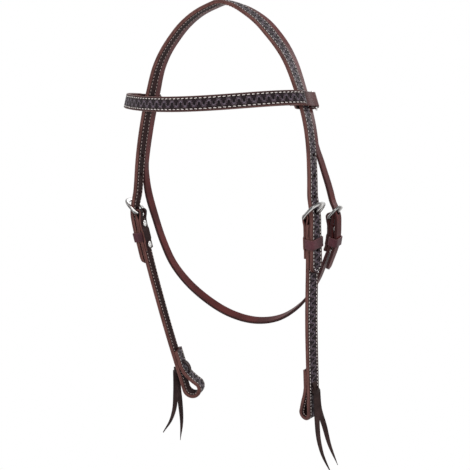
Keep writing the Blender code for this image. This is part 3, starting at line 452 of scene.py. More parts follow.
def crown_route():
    heel = (HEEL_HALF_WIDTH, 0.0, -HEEL_DROP)
    cheek = [
        (HEEL_HALF_WIDTH - x * CHEEK_SWEEP_IN, y * CHEEK_SWEEP_BACK, -HEEL_DROP - z * CHEEK_DROP)
        for x, y, z in CHEEK_LINE
    ]
    count = len(CROWN_ARCH)
    turns = [CROWN_TURN] * (count - 1) + list(CHEEK_TURNS)
    yaws = [CROWN_YAW] * count + [CROWN_YAW / 2] + [0.0] * len(cheek)
    halves = []
    for side in (1, -1):
        widths = [near if side > 0 else off for near, off, _ in CROWN_ARCH]
        arch = [(x * CROWN_HALF_WIDTH, 0.0, -z * CROWN_DROP) for x, (_, _, z) in zip(widths, CROWN_ARCH)]
        points = arch + [heel] + cheek
        steps = np.gradient(np.array(arch), axis=0)
        settled = [(row[0], row[2]) if side > 0 else (row[1], row[3]) for row in CROWN_SETTLE]
        keys = []
        for i, ((x, y, z), degrees, yaw) in enumerate(zip(points, turns, yaws)):
            turn = math.radians(side * degrees - yaw)
            middle = Vector((side * x, y, z))
            across = Vector((math.sin(turn), math.cos(turn), 0.0))
            if i < count:
                outwards = Vector((-side * steps[i][2], 0.0, steps[i][0])).normalized()
                middle += outwards * settled[i][0]
                tip = math.radians(settled[i][1])
                across = across * math.cos(tip) + outwards * math.sin(tip)
            keys.append((*middle, *across))
        halves.append(keys)
    yaw = math.radians(CROWN_YAW)
    drop, tip = POLL_SETTLE[0], math.radians(POLL_SETTLE[1])
    apex = (0.0, 0.0, drop, -math.sin(yaw) * math.cos(tip), math.cos(yaw) * math.cos(tip), math.sin(tip))
    near, off = halves
    return Route(off[::-1] + [apex] + near, start_key=len(near), flat=POLL_FLAT)


CROWN = crown_route()
HEEL = CROWN.distance_at_drop(HEEL_DROP)
NEAR_SPLIT = CROWN.distance_at_drop(NEAR_SPLIT_DROP)
OFF_SPLIT = CROWN.distance_at_drop(OFF_SPLIT_DROP)


def between(first, second, shares):
    return [a + (b - a) * share for a, b, share in zip(first, second, shares)]


def throat_route():
    def crown_key(distance):
        return (*CROWN.place(distance, REAR_MIDDLE), *CROWN.frame(distance)[2])

    keys = [crown_key(NEAR_SPLIT - SPLIT_STEP), crown_key(NEAR_SPLIT)]
    heel = (*THROAT_HEEL, -HEEL_DROP)
    split = keys[-1]
    for down, back in NEAR_BILLET_LINE:
        keys.append((*between(split, heel, (back, back, down)), 0.0, 1.0, 0.0))
    keys.append((*heel, 0.0, 1.0, 0.0))
    start = len(keys) - 1
    for x, y, z in THROAT_LINE:
        turn = math.radians(THROAT_TURN) * math.sin(math.pi / 2 * z)
        middle = (x * heel[0], heel[1] + y * THROAT_BACK, heel[2] - z * THROAT_DROP)
        keys.append((*middle, 0.0, math.cos(turn), math.sin(turn)))
    split = crown_key(-OFF_SPLIT)
    keys.append((*between(keys[-1], split, THROAT_RISE), 0.0, 1.0, 0.0))
    keys += [split, crown_key(SPLIT_STEP - OFF_SPLIT)]
    return Route(keys, start_key=start)


THROAT = throat_route()
THROAT_NEAR_SPLIT = THROAT.key_distance(1)
THROAT_OFF_SPLIT = THROAT.key_distance(-2)


def browband_crossing(side):
    return side * CROWN.distance_at_drop(BROWBAND_DROP + side * BROWBAND_TILT)


def browband_route():
    ends = {}
    for side in (1, -1):
        crossing = browband_crossing(side)
        up = CROWN.frame(crossing)[1] * -side
        backs = (0.0, BROWBAND_TAIL / 2, BROWBAND_TAIL)
        ends[side] = [(*CROWN.place(crossing, back, BROWBAND_OUT), *up) for back in backs]
    near, off = ends[1][0], ends[-1][0]
    lean = math.asin(abs(near[3]))
    steps = 9
    brow = []
    for i in range(1, 2 * steps):
        angle = math.pi * i / (2 * steps)
        across = -math.cos(angle)
        level = (near[2] + off[2] + (near[2] - off[2]) * across) / 2
        drop = level - BROWBAND_SAG * math.sin(angle) ** 2
        turn = lean * across
        middle = (near[0] * across, -BROWBAND_REACH * math.sin(angle), drop)
        brow.append((*middle, -math.sin(turn), 0.0, math.cos(turn)))
    return Route(ends[-1][::-1] + brow + ends[1], start_key=len(ends[-1]) + steps - 1)


BROWBAND = browband_route()


def spread(points, step):
    """Evenly spaced places along a smooth line through (distance, offset) points."""
    route = Route([(a, b, 0.0, 0.0, 0.0, 1.0) for a, b in points])
    count = max(2, round(route.distance[-1] / step))
    return [tuple(route.place(d)[:2]) for d in np.linspace(0.0, route.distance[-1], count + 1)]


def stepped(keys, step):
    """Places through (distance, offset) keys, level at each key and eased between them."""
    places = []
    for (a, c), (b, d) in zip(keys, keys[1:]):
        count = max(1, round(abs(b - a) / step))
        for t in np.arange(count) / count:
            places.append((a + (b - a) * t, c + (d - c) * smooth_step(t)))
    return places + [keys[-1]]


def arc(centre, radius, start_degrees, end_degrees, steps):
    places = []
    for angle in np.radians(np.linspace(start_degrees, end_degrees, steps + 1)):
        places.append((centre[0] + radius * math.sin(angle), centre[1] + radius * math.cos(angle)))
    return places


def sides_of(profile):
    points = np.array(profile, float)
    steps = np.gradient(points, axis=0)
    steps /= np.linalg.norm(steps, axis=1)[:, None]
    return np.stack([-steps[:, 1], steps[:, 0]], axis=1)


def lifted(profile, amount):
    return [(s + a * amount, n + b * amount) for (s, n), (a, b) in zip(profile, sides_of(profile))]


class Fold:
    """A strap folded round a buckle's heel bar. Places are (distance below the bar, offset outwards)."""

    def __init__(self, route, heel, sense, thickness, overlay, width, buckle, keeper_height):
        self.route, self.heel, self.sense = route, heel, sense
        self.thickness, self.overlay, self.width = thickness, overlay, width
        self.buckle, self.wire, self.keeper_height = buckle, buckle["wire"], keeper_height
        self.bend = self.wire / 2 + GAP + thickness / 2
        self.part = KEEPER_THICK / 2 + GAP + thickness / 2
        self.face = self.part + thickness / 2
        self.shut = (GAP + thickness) / 2
        self.clamped = self.shut + thickness / 2
        cover = overlay + GAP if overlay else SCREW_SEAT + SCREW_HEAD_THICK
        self.billet_inner = self.face + cover + GAP

    def at(self, below):
        return self.heel + self.sense * below

    def matrix(self, below=0.0):
        place = self.route.matrix(self.at(below))
        if self.sense < 0:
            place = place @ Matrix.Diagonal((-1.0, -1.0, 1.0, 1.0))
        return place

    def frame_matrix(self):
        return self.matrix() @ Matrix.Rotation(math.radians(BUCKLE_TILT), 4, "X")

    def along(self, places):
        return [(self.at(below), out) for below, out in places]

    def folded(self, length):
        """Up the inner side, round the heel bar and down again, open only for the keeper and the bar."""
        tall = self.keeper_height
        keys = [(length, self.shut)]
        for reach, share in KEEPER_EASE:
            keys.append((KEEPER_START + tall + reach * tall, self.shut + (self.part - self.shut) * share))
        for reach, share in reversed(KEEPER_EASE):
            keys.append((KEEPER_START - reach * tall, self.shut + (self.part - self.shut) * share))
        near = [((FOLD_EASE[0][0] + 1.0) * self.bend, self.shut)]
        for reach, share in FOLD_EASE:
            near.append((reach * self.bend, self.shut + (self.bend - self.shut) * share))
        outer = stepped(keys + near[:1], FINE_STEP / 2)[:-1] + spread(near, FINE_STEP / 2)
        inner = [(below, -out) for below, out in outer]
        return inner + arc((0.0, 0.0), self.bend, -180, 0, 18) + outer[::-1]

    def billet(self, thickness, start, reach, step=FINE_STEP):
        rest = thickness / 2
        lift = self.billet_inner
        bend = [(below * self.buckle["length"], rest + lift * share) for below, share in BILLET_RISE]
        high = spread([(start, rest), ((start + bend[0][0]) / 2, rest), bend[0]], step)
        low = spread([bend[-1], (reach, bend[-1][1])], step)
        return high + spread(bend, step)[1:] + low[1:]


def crown_fold(side):
    return Fold(CROWN, side * HEEL, side, LINING, TOOLED, STRAP_WIDTH, BUCKLE, KEEPER_HEIGHT)


def throat_fold():
    return Fold(THROAT, 0.0, 1, THROAT_THICK, 0.0, THROAT_WIDTH, THROAT_BUCKLE, THROAT_KEEPER_HEIGHT)


# Leather


class Ribbon:
    """A strap's middle line in space, with its own length along the leather."""

    def __init__(self, route, profile):
        points, acrosses, ups = [], [], []
        for (s, n), (a, b) in zip(profile, sides_of(profile)):
            point, along, across, out = route.frame(s)
            points.append(point + out * n)
            acrosses.append(across)
            ups.append(along * a + out * b)
        self.points, self.acrosses, self.ups = np.array(points), np.array(acrosses), np.array(ups)
        self.lengths = run_of(self.points)

    def row(self, i):
        return [self.points[i], self.acrosses[i], self.ups[i]]

    def flipped(self):
        """The same line with its upper face turned over."""
        self.acrosses, self.ups = -self.acrosses, -self.ups
        return self

    def at(self, length):
        tables = (self.points, self.acrosses, self.ups)
        point, side, up = [read_at(length, self.lengths, table) for table in tables]
        return point, side / np.linalg.norm(side), up / np.linalg.norm(up)

    def matrix(self, length, across=0.0, lift=0.0, turn=0.0):
        """Axes along, across and up at a place on the leather, turned within its face by `turn`."""
        point, side, up = self.at(length)
        along = np.cross(side, up)
        spot = point + side * across + up * lift
        return axes_matrix(along, side, up, spot) @ Matrix.Rotation(turn, 4, "Z")


def corners_of(width, thickness, top_round, bottom_round):
    """Points round a strap's section as (across, up, place on the hide, share of edge, face)."""
    half, top = width / 2, thickness / 2
    points = []

    def flat(face, rounding):
        reach = half - rounding
        return [(a, face * top, a, 0.0, face) for a in np.array(FLAT_SHARES) * reach]

    def corner(side, face, rounding, upwards):
        rows = []
        for turn in np.radians([*CORNER_TURNS, 90.0] if upwards else [0.0, *CORNER_TURNS]):
            a = side * (half - rounding + rounding * math.sin(turn))
            h = face * (top - rounding + rounding * math.cos(turn))
            rows.append((a, h, side * (half + (top - abs(h)) * 0.5), min(1.0, turn / 0.8), face * 0.5))
        return rows if upwards else rows[::-1]

    points += flat(1, top_round)
    points += corner(1, 1, top_round, True)
    points += corner(1, -1, bottom_round, False)[:-1]
    points += flat(-1, bottom_round)[::-1]
    points += corner(-1, -1, bottom_round, True)
    points += corner(-1, 1, top_round, False)[:-1]
    return points


class Hide:
    """Gathers rings of points into one mesh, each point with its place on the leather."""

    def __init__(self):
        self.points, self.marks, self.faces = [], [], []

    def ring(self, place, corners, length, plain=0.0):
        point, side, up = place
        first = len(self.points)
        for across, height, spot, edge, face in corners:
            self.points.append(point + side * across + up * height)
            self.marks.append((length, spot, edge, face, plain))
        return list(range(first, len(self.points)))

    def skin(self, rings, closed=False, leave_out=()):
        pairs = list(zip(rings, rings[1:]))
        if closed:
            pairs.append((rings[-1], rings[0]))
        for k, (first, second) in enumerate(pairs):
            for i in range(len(first)):
                if (k, i) in leave_out:
                    continue
                j = (i + 1) % len(first)
                self.faces.append((first[i], first[j], second[j], second[i]))
        if not closed:
            self.faces += [tuple(reversed(rings[0])), tuple(rings[-1])]

    def make(self, name, merge=0.0):
        data = bpy.data.meshes.new(name)
        data.from_pydata([tuple(p) for p in self.points], [], self.faces)
        for k, label in enumerate(("length", "spot", "edge", "face", "plain")):
            layer = data.attributes.new(label, "FLOAT", "POINT")
            layer.data.foreach_set("value", [float(row[k]) for row in self.marks])
        mesh = bmesh.new()
        mesh.from_mesh(data)
        if merge:
            bmesh.ops.remove_doubles(mesh, verts=mesh.verts, dist=merge)
            bmesh.ops.dissolve_degenerate(mesh, edges=mesh.edges, dist=merge)
        bmesh.ops.recalc_face_normals(mesh, faces=mesh.faces)
        mesh.to_mesh(data)
        mesh.free()
        corners = np.empty(len(data.loops), int)
        data.loops.foreach_get("vertex_index", corners)
        uv = np.empty((len(corners), 2))
        for column, label in enumerate(("length", "spot")):
            values = np.empty(len(data.vertices))
            data.attributes[label].data.foreach_get("value", values)
            uv[:, column] = values[corners]
        data.uv_layers.new(name="hide").data.foreach_set("uv", uv.ravel())
        data.shade_smooth()
        made = bpy.data.objects.new(name, data)
        bpy.context.scene.collection.objects.link(made)
        return made


def tip_shares(lengths, tip, start=False):
    """The share of the width at each length, for a strap whose end is rounded over `tip`."""
    shares = []
    for length in lengths:
        inside = max(0.0, 1.0 - (length if start else lengths[-1] - length) / tip)
        shares.append(max(TIP_LEAST, math.sqrt(max(0.0, 1.0 - inside**TIP_POWER))))
    return shares


def both_tips(lengths):
    """The same for a strap with a billet's tip at each end."""
    ends = tip_shares(lengths, TIP_LENGTH)
    return [min(pair) for pair in zip(ends, tip_shares(lengths, TIP_LENGTH, start=True))]


def strap(name, ribbon, width, thickness, rounds, shares=None, closed=False, plains=None):
    """A strap along a ribbon, with its upper and lower corners rounded, and marked where it is plain."""
    hide = Hide()
    rings = []
    shares = shares or [1.0] * len(ribbon.lengths)
    plains = plains or [0.0] * len(ribbon.lengths)
    for i, length in enumerate(ribbon.lengths):
        here = width * shares[i]
        corners = corners_of(here, thickness, *[min(r, here / 2.2) for r in rounds])
        rings.append(hide.ring(ribbon.row(i), corners, length, plains[i]))
    hide.skin(rings, closed)
    return hide.make(name)


def only(*pieces):
    """Selects just these pieces, with the last one active."""
    bpy.ops.object.select_all(action="DESELECT")
    for piece in pieces:
        piece.select_set(True)
    bpy.context.view_layer.objects.active = pieces[-1]


def settle(piece, name, place=None):
    """Names a piece made with the operators, moves it to its place and applies that place to its mesh."""
    piece.name = name
    if place is not None:
        piece.matrix_world = place @ piece.matrix_world
    only(piece)
    bpy.ops.object.transform_apply(location=True, rotation=True, scale=True)
    return piece


def apply_modifiers(piece):
    only(piece)
    for step in list(piece.modifiers):
        bpy.ops.object.modifier_apply(modifier=step.name)


def cut(piece, cutters):
    """Cuts all the cutters out of a piece at once and removes them."""
    tool = join("cutters", cutters)
    step = piece.modifiers.new("cut", "BOOLEAN")
    step.operation = "DIFFERENCE"
    step.solver = "EXACT"
    step.object = tool
    apply_modifiers(piece)
    bpy.data.objects.remove(tool, do_unlink=True)
    return piece


def join(name, pieces):
    only(*pieces)
    bpy.ops.object.join()
    joined = bpy.context.view_layer.objects.active
    joined.name = name
    return joined


def disc(radius, low, high, sides=24):
    """A cylinder on the third axis, between two heights."""
    bpy.ops.mesh.primitive_cylinder_add(vertices=sides, radius=radius, depth=high - low)
    made = bpy.context.active_object
    made.location.z = (low + high) / 2
    bpy.context.view_layer.update()
    return made


def drill(place, radius, low, high, sides=24):
    """A round cutter along the third axis of a place."""
    return settle(disc(radius, low, high, sides), "drill", place)


def chisel(place, low, high):
    """A square cutter between two corners in a place's axes."""
    bpy.ops.mesh.primitive_cube_add(size=1.0)
    cutter = bpy.context.active_object
    cutter.location = (Vector(low) + Vector(high)) / 2
    cutter.scale = Vector(high) - Vector(low)
    bpy.context.view_layer.update()
    return settle(cutter, "chisel", place)


# Stitching


def pick(piece, wanted, kind="VERT"):
    """Selects, in edit mode, just the corners or faces of a piece for which `wanted` is true."""
    if bpy.context.mode != "OBJECT":
        bpy.ops.object.mode_set(mode="OBJECT")
    only(piece)
    bpy.ops.object.mode_set(mode="EDIT")
    bpy.ops.mesh.select_mode(type=kind)
    bpy.ops.mesh.select_all(action="DESELECT")
    bpy.ops.object.mode_set(mode="OBJECT")
    for part in piece.data.vertices if kind == "VERT" else piece.data.polygons:
        part.select = wanted(part)
    bpy.ops.object.mode_set(mode="EDIT")


def thread_run(length):
    """One stitch along the first axis: a round thread whose ends turn down into the leather."""
    half = length / 2
    bpy.ops.mesh.primitive_cylinder_add(vertices=8, radius=STITCH_WIDTH / 2, depth=length)
    made = bpy.context.active_object
    pick(made, lambda corner: True)
    bpy.ops.transform.rotate(value=math.pi / 2, orient_axis="Y", center_override=(0.0, 0.0, 0.0))
    pick(made, lambda face: abs(face.normal.x) > 0.9, "FACE")
    bpy.ops.mesh.bevel(offset=STITCH_WIDTH * 0.38, segments=2, affect="EDGES")
    pick(made, lambda corner: abs(corner.co.x) > half - STITCH_WIDTH * 0.45)
    bpy.ops.transform.translate(value=(0.0, 0.0, -STITCH_WIDTH * 0.3))
    bpy.ops.object.mode_set(mode="OBJECT")
    bpy.ops.object.shade_smooth()
    return made


def stitch_rows(name, places, size=1.0, pitch=STITCH_PITCH):
    """A piece with a copy of the stitch at each of the places."""
    stitch = thread_run(pitch * STITCH_SHARE)
    rows = bmesh.new()
    for place in places:
        copy = stitch.data.copy()
        copy.transform(place @ Matrix.Scale(size, 4))
        rows.from_mesh(copy)
        bpy.data.meshes.remove(copy)
    rows.to_mesh(stitch.data)
    rows.free()
    stitch.name = name
    return stitch


def row_places(ribbon, start, end, across, lift, slant, pitch):
    """Places of a straight row of stitches along a ribbon."""
    count = int((end - start) / pitch)
    pitch = (end - start) / count
    turn = math.copysign(slant, slant * across)
    return [ribbon.matrix(start + pitch * (i + 0.5), across, lift, turn) for i in range(count)]


def tip_places(ribbon, middle, across, reach, lift, forward=1):
    """Places of the stitches that run round a billet's tip, from one row to the other."""
    rim = math.pi * (across + reach) / 2
    count = max(3, round(rim / STITCH_PITCH))
    places = []
    for i in range(count):
        angle = -math.pi / 2 + math.pi * (i + 0.5) / count
        length = middle + forward * math.cos(angle) * reach
        turn = math.atan2(math.cos(angle) * across, -math.sin(angle) * reach * forward)
        places.append(ribbon.matrix(length, math.sin(angle) * across, lift, turn))
    return places


# Straps of the crown


def wide_profile():
    stations = [-s for s in np.linspace(POLL_FLAT / 2, OFF_SPLIT, round(OFF_SPLIT / FINE_STEP))][::-1]
    stations += list(np.linspace(POLL_FLAT / 2, NEAR_SPLIT, round(NEAR_SPLIT / FINE_STEP)))
    return [(s, LINING / 2) for s in stations]


def billet_profile(side, reach):
    """The cheek billet from the crown's split to its tip, on the route's own distances."""
    fold = crown_fold(side)
    split = NEAR_SPLIT if side > 0 else OFF_SPLIT
    return fold.along(fold.billet(LINING, split - HEEL, reach))


def front_profile(shorter=0.0):
    near, off = (billet_profile(side, BILLET_REACH - shorter) for side in (1, -1))
    return off[::-1][:-1] + wide_profile() + near[1:]


def tilted_passage(fold):
    """Cutter for the tongue's slanted way through the billet."""
    end = fold.buckle["length"] - fold.wire
    rise = fold.wire / 2 + GAP + TONGUE_DEPTH / 2
    lean = math.atan2(rise * PASSAGE_LEAN, end)
    place = fold.frame_matrix() @ Matrix.Rotation(lean - math.pi / 2, 4, "X")
    return drill(place, TONGUE_PASSAGE, fold.wire / 2, fold.buckle["length"] + fold.wire)


def punched_holes(fold, lift):
    """Cutters for a billet's three holes above the buckle and the one below it."""
    places = [(-HOLE_PITCH * (i + 1), lift) for i in range(3)] + [(LOWER_HOLE, fold.billet_inner + lift)]
    made = []
    for below, out in places:
        made.append(drill(fold.matrix(below), HOLE_DIAMETER / 2, out - PUNCH_REACH, out + PUNCH_REACH))
    return made


def tongue_slot(fold):
    half = TONGUE_WIDTH / 2 + TONGUE_ROOM
    reach = fold.bend + fold.thickness
    return chisel(fold.matrix(), (-half, -reach, -reach), (half, reach, reach))


def screw_drills(fold):
    low, high = -fold.clamped - SCREW_HEAD, fold.clamped + SCREW_HEAD / 3
    return [drill(fold.matrix(below), SCREW_HOLE / 2, low, high) for below in SCREWS_BELOW.values()]


def squared(corners, side, half, top):
    """The section with one side's corners drawn out square, where another strap joins it."""
    rows = []
    for across, height, spot, edge, face in corners:
        if across * side > half - SQUARED and edge > 0:
            rows.append((side * half, math.copysign(top, height or face), side * half, 0.0, face))
        else:
            rows.append((across, height, spot, edge, face))
    return rows


def crown_half(hide, rows, width, side, joined, plain):
    """Skins one of the crown's two straps, left open on the side and the rows that join the other."""
    rings, left_out = [], set()
    for k, (place, length, share, thickness, rounds) in enumerate(rows):
        corners = corners_of(width * share, thickness, *rounds)
        if k in joined:
            corners = squared(corners, side, width / 2, LINING / 2)
            if k < joined[-1]:
                left_out |= {(k, n) for n in SIDE_FACES[side]}
        rings.append(hide.ring(place, corners, length, plain))
    hide.skin(rings, leave_out=left_out)


def front_billets(hide):
    """The front of the crown with both cheek billets."""
    front = Ribbon(CROWN, front_profile())
    first = len(billet_profile(-1, BILLET_REACH)) - 1
    rows = []
    for i, (length, share) in enumerate(zip(front.lengths, both_tips(front.lengths))):
        rounds = (LINING_ROUNDS[0], LINING_ROUNDS[1] * share)
        rows.append((front.row(i), length, share, LINING, rounds))
    crown_half(hide, rows, STRAP_WIDTH, 1, range(first, first + len(wide_profile())), 0.0)
    return front


def rear_strap(hide, throat):
    """The near throat billet, the rear of the crown, and the throatlatch down to its fold."""
    folded = throat.folded(THROAT_FOLD_LENGTH)
    rest = THROAT_THICK / 2
    down = [(s, rest) for s in (THROAT_FOLD_LENGTH + throat.width, THROAT_OFF_SPLIT / 2, THROAT_OFF_SPLIT)]
    latch = Ribbon(THROAT, folded + spread([folded[-1], *down], FINE_STEP)[1:])
    middle = Ribbon(CROWN, wide_profile())
    billet = Ribbon(THROAT, throat.billet(LINING, THROAT_NEAR_SPLIT, THROAT_BILLET_REACH))
    extra = THROAT_THICK - LINING
    rows = []

    def add(place, length, thick=0.0, share=1.0, shift=0.0):
        point, across, up = place
        rounds = (THROAT_ROUND * share, THROAT_ROUND * share)
        rows.append(([point + up * shift, across, up], length, share, LINING + extra * thick, rounds))

    first = len(latch.lengths) - 1
    for i in range(first):
        thick = min(1.0, (first - i) / LATCH_EASE)
        add(latch.row(i), latch.lengths[i], thick, shift=-(THROAT_THICK - (LINING + extra * thick)) / 2)
    start = latch.lengths[-1]
    for i, length in enumerate(middle.lengths):
        point, across, up = middle.row(i)
        add([point + across * REAR_MIDDLE, across, up], start + length)
    last = len(rows) - 1
    start += middle.lengths[-1]
    ends = tip_shares(billet.lengths, THROAT_TIP_LENGTH)
    for i in range(1, len(billet.lengths)):
        thick = min(1.0, i / BILLET_EASE)
        add(billet.row(i), start + billet.lengths[i], thick, ends[i], extra * thick / 2)
    crown_half(hide, rows, THROAT_WIDTH, -1, range(first, last + 1), 1.0)


def crown_leather():
    """The lining with both cheek billets, and beside it the strap that runs on as the throatlatch."""
    hide = Hide()
    throat = throat_fold()
    front = front_billets(hide)
    rear_strap(hide, throat)
    made = hide.make("crown_leather", merge=MERGE)
    holes = [tilted_passage(fold) for fold in (crown_fold(1), crown_fold(-1), throat)]
    for side in SIDES:
        holes += punched_holes(crown_fold(side), LINING / 2)
    cut(made, [tongue_slot(throat)])
    cut(made, holes + screw_drills(throat))
    return made, front


def crown_tooling():
    """The tooled layer on the front of the crown and on both cheek billets."""
    ribbon = Ribbon(CROWN, lifted(front_profile(OVERLAY_SHORTER), OVERLAY_MIDDLE))
    ends = both_tips(ribbon.lengths)
    made = strap("crown_tooling", ribbon, STRAP_WIDTH, OVERLAY_DEPTH, OVERLAY_ROUNDS, ends)
    holes = []
    for side in SIDES:
        fold = crown_fold(side)
        holes += punched_holes(fold, OUTER)
        holes.append(tilted_passage(fold))
    return cut(made, holes), ribbon


def strap_stitches(name, tooled, lining, width, clear=None, inset=STITCH_INSET, pitch=STITCH_PITCH):
    """Both rows of stitches on the tooled face, and the same rows on the lining below, as two pieces.

    The rows end at `clear` from both ends, or else run round the billets' tips.
    """
    reach = width / 2 - inset
    bow = TIP_LENGTH * 0.9
    made = []
    for label, ribbon, lift, slant, size in (
        ("", tooled, TOP_STITCH_LIFT, STITCH_SLANT, 1.0),
        ("_inside", lining, -INNER_STITCH_LIFT, -STITCH_SLANT, INNER_STITCH_SIZE),
    ):
        places = []
        short = bow if clear is None else clear
        low, high = short, ribbon.lengths[-1] - short
        if clear is None:
            for middle, forward in ((low, -1), (high, 1)):
                places += tip_places(ribbon, middle, reach, bow - inset, lift, forward)
        for side in SIDES:
            places += row_places(ribbon, low, high, side * reach, lift, slant, pitch)
        made.append(stitch_rows(name + label, places, size, pitch))
    return made


# Cheekpieces


def bit_loop(bottom, side):
    """Places down to the bit loop, and round it and up again behind the strap."""
    rest = LINING / 2
    radius = BIT_LOOP_RADIUS[side] + rest
    middle = bottom + BIT_LOOP_SLACK[side] - radius - TOOLED - GAP - rest
    behind = -(GAP + rest)
    down = [(middle - BIT_LOOP_THROAT * share, rest) for share in (0.5, 0.2)]
    turn = arc((middle, rest - radius), radius, 0, BIT_LOOP_SWEEP, 26)
    last = turn[-1]
    eased = []
    for rise, share in BIT_LOOP_CLOSING[side]:
        eased.append((middle - BIT_LOOP_THROAT * rise, last[1] + (behind - last[1]) * share))
    up = spread([last] + eased, FINE_STEP)
    end = spread([eased[-1], (bottom - BIT_RETURN, behind)], FINE_STEP)
    return down, turn + up[1:] + end[1:]


def cheekpiece(side):
    """Lining, tooled layer and stitches of one side, folded at the buckle and round the bit loop."""
    suffix = "_" + SIDES[side]
    fold = crown_fold(side)
    top = fold.folded(FOLD_LENGTH)
    down, loop = bit_loop(CHEEK_LENGTH[side], side)
    eased = (FOLD_LENGTH + fold.width, LINING / 2)
    straight = spread([top[-1], eased, *down], FINE_STEP)
    profile = top + straight[1:] + loop
    start = next(i for i, (below, out) in enumerate(profile) if below > fold.bend * 2 and out > 0)

    def ribbon(places):
        return turned_out(Ribbon(CROWN, fold.along(places)), fold)

    lining = strap("cheek_leather" + suffix, ribbon(profile), STRAP_WIDTH, LINING, LINING_ROUNDS)
    cut(lining, [tongue_slot(fold)] + screw_drills(fold))
    over, under = ribbon(lifted(profile, OVERLAY_MIDDLE)[start:]), ribbon(profile[start:])
    tooled = strap("cheek_tooling" + suffix, over, STRAP_WIDTH, OVERLAY_DEPTH, OVERLAY_ROUNDS)
    room = (SCREW_HEAD / 2 + GAP, fold.clamped - GAP / 2, fold.clamped + SCREW_HEAD / 2, 32)
    cut(tooled, [drill(fold.matrix(below), *room) for below in SCREWS_BELOW.values()])
    rows = strap_stitches("cheek_stitching" + suffix, over, under, STRAP_WIDTH, CHEEK_STITCH_CLEAR)
    return lining, tooled, *rows


def turned_out(ribbon, fold):
    """A ribbon on the off side runs against its route, so its upper face is turned out again."""
    return ribbon.flipped() if fold.sense < 0 else ribbon


# Keepers, ties and browband fittings


def rounded_rectangle(low, high, corner, steps=6):
    middles = (
        (high[0] - corner, high[1] - corner, 0),
        (low[0] + corner, high[1] - corner, 90),
        (low[0] + corner, low[1] + corner, 180),
        (high[0] - corner, low[1] + corner, 270),
    )
    places = []
    for x, y, start in middles:
        for i in range(steps + 1):
            angle = math.radians(start + 90 * i / steps)
            places.append((x + corner * math.cos(angle), y + corner * math.sin(angle)))
    return places


class Hoop(Ribbon):
    """A closed ribbon round points in space, wrapped about an axis."""

    def __init__(self, points, axis):
        axis = np.array(axis) / np.linalg.norm(axis)
        self.points = np.array(points)
        along = np.roll(self.points, -1, axis=0) - np.roll(self.points, 1, axis=0)
        along /= np.linalg.norm(along, axis=1)[:, None]
        self.ups = np.cross(along, axis)
        self.ups /= np.linalg.norm(self.ups, axis=1)[:, None]
        self.acrosses = np.tile(axis, (len(points), 1))
        self.lengths = run_of(self.points)


def filled_in(outline, step=0.0015):
    """A closed outline with more points along its straight runs."""
    rows = []
    for i, first in enumerate(outline):
        second = outline[(i + 1) % len(outline)]
        count = max(1, round(math.dist(first, second) / step))
        for t in np.arange(count) / count:
            rows.append(tuple(a + (b - a) * t for a, b in zip(first, second)))
    return rows


def keeper(name, fold):
    billet = OUTER if fold.overlay else THROAT_THICK
    half = fold.width / 2 + GAP + KEEPER_THICK / 2
    high = fold.billet_inner + billet + GAP + KEEPER_THICK / 2
    place = fold.matrix(KEEPER_START + fold.keeper_height / 2)
    outline = filled_in(rounded_rectangle((-half, 0.0), (half, high), KEEPER_CORNER))
    points = [place @ Vector((x, 0.0, z)) for x, z in outline]
    hoop = Hoop(points, place.to_3x3() @ Vector((0.0, 1.0, 0.0)))
    return strap(name, hoop, fold.keeper_height, KEEPER_THICK, KEEPER_ROUNDS, closed=True)


def crowned(deep, wide, power=2.0, sides=16):
    """A wire's section, its depth and its width in the loop's plane. A higher power makes it flatter."""
    rows = []
    for angle in np.arange(sides) * 2 * math.pi / sides:
        ends = ((math.cos(angle), deep), (math.sin(angle), wide))
        rows.append(tuple(math.copysign(abs(a) ** (2 / power) * size / 2, a) for a, size in ends))
    return rows


def wire(name, points, axis, sections):
    """A closed wire round points in space, with its section at each of them."""
    hoop = Hoop(points, axis)
    hide = Hide()
    rings = []
    for i, length in enumerate(hoop.lengths):
        corners = [(a, b, a, 0.0, 1.0) for a, b in sections[i]]
        rings.append(hide.ring(hoop.row(i), corners, length))
    hide.skin(rings, closed=True)
    return hide.make(name)


def buckle_frame(name, fold):
    """A frame with a straight heel bar and a broad, flattened band in front."""
    half = (fold.buckle["width"] - fold.wire) / 2
    length = fold.buckle["length"] - fold.wire
    corner = [(half - fold.wire * x, length * y) for x, y in BUCKLE_CORNER]
    bar = [(x, 0.0) for x in np.linspace(half - fold.wire, fold.wire - half, 12)]
    outline = bar + [(-x, y) for x, y in corner]
    for angle in np.linspace(math.pi, 0.0, 29):
        x = math.copysign(abs(math.cos(angle)) ** (2 / BUCKLE_POWER), math.cos(angle))
        y = BUCKLE_SHOULDER + (1.0 - BUCKLE_SHOULDER) * abs(math.sin(angle)) ** (2 / BUCKLE_POWER)
        outline.append((half * x, length * y))
    outline += corner[::-1]
    closed = Route([(x, y, 0.0, 0.0, 0.0, 1.0) for x, y in outline + outline[:3]])
    count = 84
    first, last = closed.key_distance(1), closed.key_distance(len(outline) + 1)
    smooth = [closed.place(first + (last - first) * i / count) for i in range(count)]
    place = fold.frame_matrix()
    points = [place @ Vector((p.x, p.y, 0.0)) for p in smooth]
    axis = place.to_3x3() @ Vector((0.0, 0.0, 1.0))
    sections = []
    for p in smooth:
        share = smooth_step(min(1.0, max(0.0, (p.y / length - BAND_RAMP[0]) / BAND_RAMP[1])))
        deep = fold.wire * (1.0 - BAND_FLAT * share)
        wide = fold.wire * (1.0 + BAND_SPREAD[fold.wire] * share)
        sections.append(crowned(deep, wide, 2.0 + 0.5 * share))
    return wire(name, points, axis, sections)


